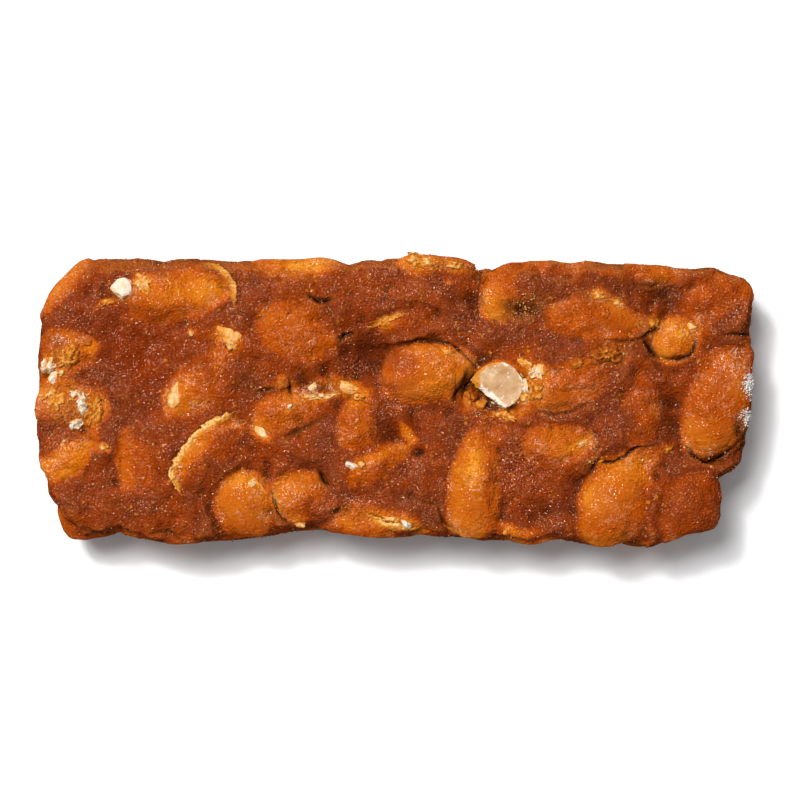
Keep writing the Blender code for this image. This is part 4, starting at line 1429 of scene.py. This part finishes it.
class Look:
    """A material's node tree, with a short call for each kind of node."""

    def __init__(self, name):
        self.material = bpy.data.materials.new(name)
        self.material.use_nodes = True
        self.tree = self.material.node_tree
        self.shader = self.tree.nodes["Principled BSDF"]
        self.place = self.tree.nodes.new("ShaderNodeTexCoord").outputs["Object"]

    def set(self, **values):
        """Sets the shader's sockets, with _ for a space in their names."""
        for name, value in values.items():
            self.put(self.shader.inputs[name.replace("_", " ")], value)

    def put(self, socket, value):
        if isinstance(value, bpy.types.NodeSocket):
            self.tree.links.new(value, socket)
        elif socket.type == "RGBA":
            socket.default_value = (*value[:3], 1.0)
        else:
            socket.default_value = value

    def attribute(self, name):
        node = self.tree.nodes.new("ShaderNodeAttribute")
        node.attribute_name = name
        return node.outputs["Fac"]

    def noise(self, size, detail=2.0, roughness=0.5, distortion=0.0, offset=0.0):
        """Noise from 0 to 1, with lumps of this size in millimetres."""
        node = self.tree.nodes.new("ShaderNodeTexNoise")
        self.put(node.inputs["Vector"], self.moved(offset) if offset else self.place)
        node.inputs["Scale"].default_value = 1 / (size * MM)
        node.inputs["Detail"].default_value = detail
        node.inputs["Roughness"].default_value = roughness
        node.inputs["Distortion"].default_value = distortion
        return node.outputs["Fac"]

    def moved(self, offset):
        node = self.tree.nodes.new("ShaderNodeVectorMath")
        node.operation = "ADD"
        self.put(node.inputs[0], self.place)
        node.inputs[1].default_value = (offset, offset, offset)
        return node.outputs[0]

    def cells(self, size):
        """A random value from 0 to 1 for each cell of this size in millimetres."""
        node = self.tree.nodes.new("ShaderNodeTexVoronoi")
        self.put(node.inputs["Vector"], self.place)
        node.inputs["Scale"].default_value = 1 / (size * MM)
        return node.outputs["Color"]

    def math(self, operation, a, b=0.0, c=0.0, clamp=False):
        node = self.tree.nodes.new("ShaderNodeMath")
        node.operation = operation
        node.use_clamp = clamp
        for socket, value in zip(node.inputs, (a, b, c)):
            self.put(socket, value)
        return node.outputs[0]

    def times(self, a, b, clamp=False):
        return self.math("MULTIPLY", a, b, clamp=clamp)

    def plus(self, a, b, share=1.0):
        """The first value and this share of the second."""
        return self.math("MULTIPLY_ADD", b, share, a)

    def centred(self, value):
        """A value from 0 to 1 as one from -0.5 to 0.5."""
        return self.math("SUBTRACT", value, 0.5)

    def between(self, value, low, high, to_low=0.0, to_high=1.0):
        """The value's place from low to high, as a smooth step."""
        node = self.tree.nodes.new("ShaderNodeMapRange")
        node.interpolation_type = "SMOOTHSTEP"
        names = ("Value", "From Min", "From Max", "To Min", "To Max")
        for name, number in zip(names, (value, low, high, to_low, to_high)):
            self.put(node.inputs[name], number)
        return node.outputs[0]

    def mix(self, share, a, b, kind="MIX"):
        node = self.tree.nodes.new("ShaderNodeMix")
        node.data_type = "RGBA"
        node.blend_type = kind
        self.put(node.inputs[0], share)
        self.put(node.inputs[6], a)
        self.put(node.inputs[7], b)
        return node.outputs[2]

    def ramp(self, value, stops):
        """A colour for each value; stops are places and colours."""
        node = self.tree.nodes.new("ShaderNodeValToRGB")
        elements = node.color_ramp.elements
        while len(elements) < len(stops):
            elements.new(0.5)
        for element, (place, colour) in zip(elements, stops):
            element.position = place
            element.color = (*colour, 1.0)
        self.put(node.inputs[0], value)
        return node.outputs[0]

    def bump(self, height, depth, normal=None):
        """Relief of this depth in millimetres."""
        node = self.tree.nodes.new("ShaderNodeBump")
        node.inputs["Strength"].default_value = 1.0
        node.inputs["Distance"].default_value = depth * MM
        self.put(node.inputs["Height"], height)
        if normal:
            self.put(node.inputs["Normal"], normal)
        return node.outputs[0]

    def glow_within(self, share, reach, colour):
        """Light that spreads inside, this share of it and this far in millimetres."""
        self.set(Subsurface_Weight=share, Subsurface_Scale=reach * MM)
        self.shader.inputs["Subsurface Radius"].default_value = colour


# Colours as the film of sugar gets thicker over a red or a yellow almond.
RED_FILM = (
    (0.00, (0.54, 0.140, 0.0200)),
    (0.22, (0.43, 0.082, 0.0055)),
    (0.40, (0.37, 0.056, 0.0030)),
    (0.60, (0.28, 0.037, 0.0020)),
    (0.80, (0.205, 0.031, 0.0030)),
    (1.00, (0.160, 0.027, 0.0050)),
)
YELLOW_FILM = (
    (0.00, (0.72, 0.265, 0.0160)),
    (0.20, (0.57, 0.146, 0.0040)),
    (0.38, (0.47, 0.092, 0.0020)),
    (0.56, (0.35, 0.053, 0.0020)),
    (0.80, (0.225, 0.033, 0.0025)),
    (1.00, (0.160, 0.027, 0.0050)),
)
MAUVE_SUGAR = (0.174, 0.0285, 0.0065)
RED_SUGAR = (0.235, 0.0330, 0.0030)
# Dark caramelised sugar; it also paints the shade in hollows, cracks, beside pale edges and between
# almonds. The black one paints the shade inside cracks and gaps, and the darkest burnt sugar.
DARK_SUGAR_AND_SHADE = (0.050, 0.0085, 0.0015)
BLACK_SUGAR_AND_SHADE = (0.012, 0.0025, 0.0008)
WET_SUGAR = (0.170, 0.0160, 0.0005)
SANDY_SUGAR = (0.30, 0.080, 0.012)
OCHRE_EDGE = (0.44, 0.120, 0.018)
GOLDEN_EDGE = (0.62, 0.23, 0.022)
CREAM_EDGE = (0.84, 0.50, 0.17)
# Painted glints: a pale tint and sparks laid into the base colour, over almonds and over plain sugar.
# The spark colour also draws pale curls.
GLINT_OVER_ALMOND = (0.80, 0.34, 0.11)
GLINT_OVER_SUGAR = (0.56, 0.20, 0.105)
PALE_GLINT_AND_CURL = (0.85, 0.52, 0.36)
CHIP_COLOURS = (
    (0.00, (0.36, 0.074, 0.005)),
    (0.25, (0.58, 0.175, 0.010)),
    (0.50, (0.76, 0.328, 0.052)),
    (0.75, (0.84, 0.550, 0.270)),
    (1.00, (0.84, 0.715, 0.580)),
)
FLESH_COLOURS = (
    (0.30, (0.44, 0.23, 0.095)),
    (0.50, (0.55, 0.33, 0.170)),
    (0.72, (0.66, 0.45, 0.270)),
)
CHALKY_EDGE = (0.84, 0.75, 0.63)
GOLDEN_TIP = (0.58, 0.21, 0.016)
FLESH_SPARK = (0.88, 0.78, 0.66)
GRAIN_COLOURS = (
    (0.0, (0.30, 0.07, 0.02)),
    (0.5, (0.48, 0.16, 0.05)),
    (0.9, (0.70, 0.34, 0.14)),
    (1.0, (0.85, 0.62, 0.42)),
)
CRUMB_COLOURS = (
    (0.0, (0.32, 0.080, 0.010)),
    (0.6, (0.52, 0.190, 0.030)),
    (1.0, (0.74, 0.420, 0.140)),
)
POWDER_COLOURS = ((0.0, (0.75, 0.68, 0.62)), (1.0, (0.92, 0.90, 0.88)))
SPECULAR_TINT = (1.0, 0.74, 0.58)

# How strongly each effect shows, from 0 to 1 unless it multiplies a value.
SPECKS = 0.21  # how much brighter or darker the faint specks are
WET_SHOWS = 0.75
SANDY_SHOWS = 0.5
FAR_EDGE_SHEEN_SHOWS = 0.4
RIDGES_SHOW = 0.20
HOLLOW_SHADE_SHOWS = 0.75
DARK_SHOWS = 0.92
LIPS_SHOW = 0.15
CRACK_SHADE_SHOWS = 0.70
RIM_SHADE_SHOWS = 0.6
GLINTS_SHOW = 0.5
PAINTED_SPARKS_SHOW = 2.0
FLESH_SPARKS_SHOW = 0.45

# Grain of the sugar and of the thinner film on almonds, and their gloss.
SUGAR_GRAIN, ALMOND_GRAIN = 1.0, 0.60
SUGAR_ROUGHNESS, ALMOND_ROUGHNESS = 0.12, 0.13
FINE_DEPTH, COARSE_DEPTH = 0.32, 0.28


def film_colour(look, film):
    """The sugar's colour by its film over an almond, and away from almonds by clouds."""
    low, high = FILM_RANGE
    place = look.math("DIVIDE", look.math("SUBTRACT", film, low), high - low, clamp=True)
    red, yellow = look.ramp(place, RED_FILM), look.ramp(place, YELLOW_FILM)
    over_almond = look.mix(look.attribute("tone"), red, yellow)
    clouds = look.noise(8.0, 3.0, 0.6, 0.4, offset=0.7)
    plain = look.mix(look.between(clouds, 0.40, 0.60), MAUVE_SUGAR, RED_SUGAR)
    return look.mix(look.between(film, 0.45, 1.15), over_almond, plain)


def patch_colours(look, colour, film, flecks):
    """Glassy and sandy places."""
    glassy = look.times(look.attribute("wet"), look.between(film, 0.2, 1.0))
    colour = look.mix(look.times(glassy, WET_SHOWS), colour, WET_SUGAR)
    sandy = look.plus(look.attribute("sandy"), look.centred(flecks))
    sandy = look.between(sandy, 0.25, 0.75)
    return look.mix(look.times(sandy, SANDY_SHOWS), colour, SANDY_SUGAR)


def relief_colours(look, colour, flecks):
    """Paler ridges, a painted highlight on the far side's upper edge, painted shade in hollows, and
    burnt sugar with painted shade in dark places.
    """
    cavity, fine = look.attribute("cavity"), look.attribute("fine_cavity")
    # A painted highlight on the upper edge of the bar's far side, which faces the light.
    edge = look.times(look.attribute("far_edge_sheen"), FAR_EDGE_SHEEN_SHOWS)
    colour = look.mix(edge, colour, OCHRE_EDGE)
    ridge = look.between(look.plus(cavity, fine, 0.4), -0.2, -1.2)
    colour = look.mix(look.times(ridge, RIDGES_SHOW), colour, OCHRE_EDGE)
    # Painted shade in the hollows.
    hollow_shade = look.between(look.plus(cavity, fine, 0.25), 0.1, 1.0)
    colour = look.mix(look.times(hollow_shade, HOLLOW_SHADE_SHOWS), colour, DARK_SUGAR_AND_SHADE)
    # Dark patches: burnt sugar and painted shade between almonds, black where deepest.
    dark = look.plus(look.attribute("dark"), look.centred(flecks), 0.2)
    colour = look.mix(look.between(dark, 0.05, 1.0, 0.0, DARK_SHOWS), colour, DARK_SUGAR_AND_SHADE)
    return look.mix(look.between(dark, 0.70, 1.1), colour, BLACK_SUGAR_AND_SHADE)


def with_specks(look, colour, grain):
    """The colour with faint brighter and darker specks."""
    specks = look.noise(0.42, 1.0, 0.5, offset=0.8)
    brightness = look.between(specks, 0.30, 0.70, 1 - SPECKS * grain, 1 + SPECKS * grain)
    return look.mix(1.0, colour, brightness, "MULTIPLY")


def with_painted_glints(look, colour, film, grain):
    """The colour with painted glints, a pale tint and bright sparks, dense in glinting places and few
    in glassy ones.
    """
    tint = look.mix(look.between(film, 0.1, 0.9), GLINT_OVER_ALMOND, GLINT_OVER_SUGAR)
    places = look.between(look.noise(4.0, 2.0, 0.6, offset=0.1), 0.42, 0.62, 0.0, 0.12)
    places = look.plus(places, look.attribute("painted_glints"), GLINTS_SHOW)
    places = look.times(places, look.between(look.attribute("wet"), 0.1, 0.9, 1.0, 0.3))
    painted_glints = look.between(look.noise(0.42, 1.0, 0.6, offset=0.5), 0.52, 0.64)
    colour = look.mix(look.times(look.times(painted_glints, places), grain), colour, tint)
    # Painted sparks: bright dots laid into the base colour.
    spark = look.between(look.cells(0.23), 0.89, 0.93)
    glint_share = look.times(look.times(spark, places), PAINTED_SPARKS_SHOW * grain, clamp=True)
    return look.mix(glint_share, colour, PALE_GLINT_AND_CURL)


def with_strokes(look, colour, film):
    """The colour with fine pale curls where the sugar is thin."""
    curve = look.math("ABSOLUTE", look.centred(look.noise(2.2, 2.0, 0.6, 1.5, 0.65)))
    places = look.between(look.noise(5.0, 1.0, 0.5, offset=0.45), 0.50, 0.62, 0.0, 0.55)
    strokes = look.times(look.between(curve, 0.022, 0.004), places)
    return look.mix(look.times(strokes, look.between(film, 0.8, 0.1)), colour, PALE_GLINT_AND_CURL)


def with_gold(look, colour):
    """The colour with golden crumbs, more of them in sandy places and none in dark ones."""
    gold = look.between(look.cells(0.5), 0.85, 0.90)
    where = look.between(look.noise(6.0, 2.0, 0.6, offset=0.25), 0.45, 0.62, 0.05, 0.55)
    where = look.plus(where, look.attribute("sandy"))
    light = look.math("SUBTRACT", 1.0, look.attribute("dark"))
    share = look.times(gold, look.times(where, light, clamp=True), clamp=True)
    return look.mix(share, colour, GOLDEN_EDGE)


def rim_colours(look, colour):
    """Pale, flaky lines, partly broken edges and partly painted highlights, with a painted shadow line
    along their sharp side.
    """
    ragged = look.centred(look.noise(1.5, 3.0, 0.65, offset=0.35))
    side = look.plus(look.attribute("rim_side"), ragged, 3.2)
    shown = look.times(look.attribute("rim"), 1.25, clamp=True)
    within = look.times(look.between(side, -3.4, 0.3), look.between(side, 1.1, 0.8))
    pale = look.times(within, shown)
    colour = look.mix(look.between(pale, 0.0, 0.6, 0.0, 0.85), colour, GOLDEN_EDGE)
    flakes = look.between(look.noise(0.7, 2.0, 0.6, offset=0.15), 0.35, 0.60, 0.5, 1.0)
    flaky = look.between(look.times(pale, flakes), 0.40, 0.90, 0.0, 0.95)
    colour = look.mix(flaky, colour, CREAM_EDGE)
    # A painted shadow line just beyond the sharp side.
    beyond = look.times(look.between(side, 0.9, 1.2), look.between(side, 2.4, 1.4))
    shade = look.times(look.times(beyond, shown), RIM_SHADE_SHOWS)
    return look.mix(shade, colour, DARK_SUGAR_AND_SHADE)


def crack_share(look, inner, outer, crumble, shallow, deep):
    """1 inside a crack and 0 beyond its outer width, by its depth, with a crumbly edge."""
    gap = look.math("ABSOLUTE", look.attribute("crack_side"))
    gap = look.plus(gap, look.centred(look.noise(0.6, 2.0, 0.6)), crumble)
    depth = look.between(look.attribute("crack"), shallow, deep)
    return look.times(look.between(gap, outer, inner), depth)


def crack_colours(look, colour):
    """Cracks with painted shade round them and a black painted shadow inside, between ochre lips."""
    lips = crack_share(look, 2.5, 6.0, 3.0, 0.0, 0.5)
    colour = look.mix(look.times(lips, LIPS_SHOW), colour, OCHRE_EDGE)
    # Painted shade round the crack, and black painted shadow in its core.
    shade = crack_share(look, 0.6, 3.4, 1.5, 0.0, 0.9)
    colour = look.mix(look.times(shade, CRACK_SHADE_SHOWS), colour, DARK_SUGAR_AND_SHADE)
    core = crack_share(look, 0.3, 1.3, 0.9, 0.45, 1.0)
    return look.mix(core, colour, BLACK_SUGAR_AND_SHADE)


def nougat_relief(look, grain):
    """Fine grain over coarser unevenness, calmer in glassy places."""
    calm = look.between(look.attribute("wet"), 0.1, 0.9, 1.0, 0.80)
    fine = look.times(look.noise(0.46, 0.0, 0.5, offset=0.2), calm)
    rough = look.bump(fine, FINE_DEPTH * grain)
    return look.bump(look.noise(1.6, 1.0, 0.5, offset=0.9), COARSE_DEPTH * grain, rough)


def nougat_look(name, roughness, grain):
    """Sugar over almonds: the film attribute says how thick it lies there."""
    look = Look(name)
    flecks = look.noise(0.8, 2.0, 0.6, offset=0.3)
    film = look.plus(look.attribute("film"), look.centred(look.noise(3.0, 2.0, 0.55)), 0.70)
    film = look.plus(film, look.centred(flecks), 0.15)
    colour = film_colour(look, film)
    colour = patch_colours(look, colour, film, flecks)
    colour = relief_colours(look, colour, flecks)
    colour = with_specks(look, colour, grain)
    colour = with_painted_glints(look, colour, film, grain)
    colour = with_gold(look, with_strokes(look, colour, film))
    colour = crack_colours(look, rim_colours(look, colour))
    dull = look.between(look.noise(1.5, 2.0, offset=0.4), 0.3, 0.7, roughness, roughness + 0.05)
    dull = look.plus(dull, look.attribute("wet"), -0.04)
    look.set(Base_Color=colour, Roughness=dull, Normal=nougat_relief(look, grain))
    look.set(Specular_IOR_Level=0.52, Specular_Tint=SPECULAR_TINT)
    look.glow_within(0.15, 0.6, (1.0, 0.35, 0.10))
    return look.material


def chip_look():
    """Broken almond flesh: white where pale, toasted gold where not."""
    look = Look("broken_almond")
    speckle = look.centred(look.noise(1.0, 4.0, 0.7))
    share = look.math("MULTIPLY_ADD", speckle, 1.5, look.attribute("shade"), clamp=True)
    colour = look.ramp(share, CHIP_COLOURS)
    rough = look.bump(look.noise(0.7, 3.0, 0.7), 0.5)
    look.set(Base_Color=colour, Roughness=0.45, Normal=rough, Specular_IOR_Level=0.3)
    look.glow_within(0.2, 0.6, (1.0, 0.6, 0.3))
    return look.material


def flesh_look():
    """The split almond: a smooth cream face, golden at its tip and white round its edge."""
    look = Look("almond_flesh")
    colour = look.ramp(look.noise(3.0, 3.0, 0.6), FLESH_COLOURS)
    patchy = look.centred(look.noise(1.1, 3.0, 0.65, offset=0.6))
    edge = look.plus(look.attribute("face_edge"), patchy, 2.6)
    tip = look.plus(look.attribute("face_tip"), patchy, 1.4)
    colour = look.mix(look.between(edge, 0.35, 1.00, 0.0, 0.9), colour, CHALKY_EDGE)
    colour = look.mix(look.between(tip, 0.35, 0.75), colour, GOLDEN_TIP)
    spark = look.between(look.cells(0.45), 0.84, 0.90)
    colour = look.mix(look.times(spark, FLESH_SPARKS_SHOW), colour, FLESH_SPARK)
    rough = look.bump(look.noise(1.6, 3.0, 0.6), 0.35)
    look.set(Base_Color=colour, Roughness=0.22, Normal=rough, Specular_IOR_Level=0.3)
    look.glow_within(0.3, 1.0, (1.0, 0.6, 0.35))
    return look.material


def grain_look(name, stops, roughness):
    """Crystals and crumbs, each with its own shade."""
    look = Look(name)
    colour = look.ramp(look.attribute("shade"), stops)
    look.set(Base_Color=colour, Roughness=roughness, Specular_IOR_Level=0.5)
    return look.material


# --- putting it together --------------------------------------------------------


def almond_meshes(covers):
    """Every almond's visible form, by name."""
    meshes = {}
    for name in sorted(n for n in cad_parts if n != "sugar"):
        bare = covers[name].film - covers[name].lean < BARE_FILM
        meshes[name] = rounded(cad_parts[name], FINE if bare else COARSE)
        roughen(meshes[name])
    split = evaluated(meshes["almond_split"], divided(1))
    turn_round(split)
    snap_off(split)
    set_rim(split)
    meshes["almond_split"] = split
    return meshes


def dress_skin(skin, almonds, covers):
    """Shapes the skin, fits all meshes to the outline and stores what its look needs."""
    tones = [covers[name].tone for name in almonds]
    film = film_over(skin, *search_tree(almonds.values()), tones)[0]
    shape_surface(skin, film)
    widest, correction = outline_correction(points_of(skin))
    for mesh in (skin, *almonds.values()):
        set_points(mesh, fitted(points_of(mesh), widest, correction))
    set_film(skin, *film_over(skin, *search_tree(almonds.values()), tones))
    set_cavity(skin)
    set_patches(skin)


def dress_almonds(skin, almonds, covers):
    """Stores on each almond what its look needs."""
    skin_tree, _ = search_tree([skin])
    for name, mesh in almonds.items():
        set_film_above(mesh, skin_tree, covers[name].tone)
        set_cavity(mesh)
        set_patches(mesh)
        set_lines(mesh)


def add_bar(skin, almonds):
    """The sugar and the almonds as pieces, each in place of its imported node."""
    sugar_look = nougat_look("caramelised_sugar", SUGAR_ROUGHNESS, SUGAR_GRAIN)
    almond_look = nougat_look("toasted_almond", ALMOND_ROUGHNESS, ALMOND_GRAIN)
    piece("nougat_sugar", skin, sugar_look, ["sugar"])
    for name, mesh in almonds.items():
        if name == "almond_split":
            piece("split_face", mesh, flesh_look(), [name])
        else:
            piece("toasted_" + name, mesh, almond_look, [name])


def add_grains(skin):
    """Sugar crystals all over, crumbs in the sandy places and powder on one end."""
    _, centres = face_normals_and_centres(skin)
    areas = np.empty(len(skin.polygons))
    skin.polygons.foreach_get("area", areas)
    weights = areas * smoothstep(centres[:, 2], *BIT_FOOT)
    clusters = smoothstep(uneven(centres, CLUSTERS), *CLUSTER_RANGE)
    clusters = CLUSTER_LEAST + patch_mask(centres, FROST_AND_GLINTS) + clusters
    crystals = scattered("sugar_crystals", skin, weights * clusters, CRYSTALS)
    look = grain_look("sugar_crystal", GRAIN_COLOURS, 0.2)
    piece("sugar_crystals", crystals, look).data.shade_flat()
    sandy = patch_mask(centres, SANDY) ** 2 + CRUMB_LEAST
    crumbs = scattered("golden_crumbs", skin, weights * sandy, CRUMBS)
    piece("golden_crumbs", crumbs, grain_look("golden_crumb", CRUMB_COLOURS, 0.5))
    end = patch_mask(centres, POWDER) ** 2 * smoothstep(centres[:, 2], *POWDER_HEIGHT)
    end = end + POWDER_LEAST
    powder = scattered("white_powder", skin, areas * end, POWDER_GRAINS)
    piece("white_powder", powder, grain_look("white_sugar", POWDER_COLOURS, 0.4))


def make_bar():
    covers = all_covers()
    almonds = almond_meshes(covers)
    skin = sugar_body(covers, almonds)
    dress_skin(skin, almonds, covers)
    dress_almonds(skin, almonds, covers)
    add_bar(skin, almonds)
    everything, _ = search_tree([skin, *almonds.values()])
    bits = chip_look()
    piece("almond_chips", make_chips(everything), bits)
    add_grains(skin)


# --- the studio -----------------------------------------------------------------

# Places and sizes of the studio's things are in metres.
FLOOR_SIZE = 6.0
FLOOR_COLOUR = (0.95, 0.95, 0.95)
Lamp = namedtuple("Lamp", "name place size power glints")
LAMPS = (
    Lamp("key", (-0.28, 0.34, 0.85), 0.40, 8.6, False),
    Lamp("sparkle", (-0.36, 0.45, 0.90), 0.12, 4.1, True),
)
SKY_STRENGTH = 0.30

# The camera looks straight down. At this level over the table, in millimetres, the frame
# is as wide as in the photograph.
FRAME_WIDTH, LEVEL = 168.0, 12.0
MIDDLE = (1.3, -0.3)
LENS, SENSOR = 100.0, 36.0


def add_floor():
    bpy.ops.mesh.primitive_plane_add(size=FLOOR_SIZE)
    floor = bpy.context.object
    floor.name = "floor"
    look = Look("white_floor")
    look.set(Base_Color=FLOOR_COLOUR, Roughness=0.9, Specular_IOR_Level=0.1)
    floor.data.materials.append(look.material)
    floor.visible_glossy = False


def add_lamp(lamp):
    """A square soft light that faces the bar, with or without glints."""
    data = bpy.data.lights.new(lamp.name, "AREA")
    data.size = lamp.size
    data.energy = lamp.power
    light = bpy.data.objects.new(lamp.name, data)
    light.visible_glossy = lamp.glints
    light.location = lamp.place
    light.rotation_euler = (-Vector(lamp.place)).to_track_quat("-Z", "Y").to_euler()
    bpy.context.scene.collection.objects.link(light)


def add_sky():
    """Even white light from all round, without glints."""
    world = bpy.data.worlds.new("studio")
    world.use_nodes = True
    background = world.node_tree.nodes["Background"]
    background.inputs["Color"].default_value = (1.0, 1.0, 1.0, 1.0)
    background.inputs["Strength"].default_value = SKY_STRENGTH
    world.cycles_visibility.glossy = False
    bpy.context.scene.world = world


def add_camera():
    camera = bpy.data.objects.new("camera", bpy.data.cameras.new("camera"))
    camera.data.lens = LENS
    camera.data.sensor_width = SENSOR
    distance = FRAME_WIDTH * LENS / SENSOR
    camera.location = (MIDDLE[0] * MM, MIDDLE[1] * MM, (distance + LEVEL) * MM)
    bpy.context.scene.collection.objects.link(camera)
    bpy.context.scene.camera = camera


def add_surroundings():
    add_floor()
    for lamp in LAMPS:
        add_lamp(lamp)
    add_sky()
    bpy.context.scene.view_settings.view_transform = "Standard"


make_bar()
add_surroundings()
add_camera()
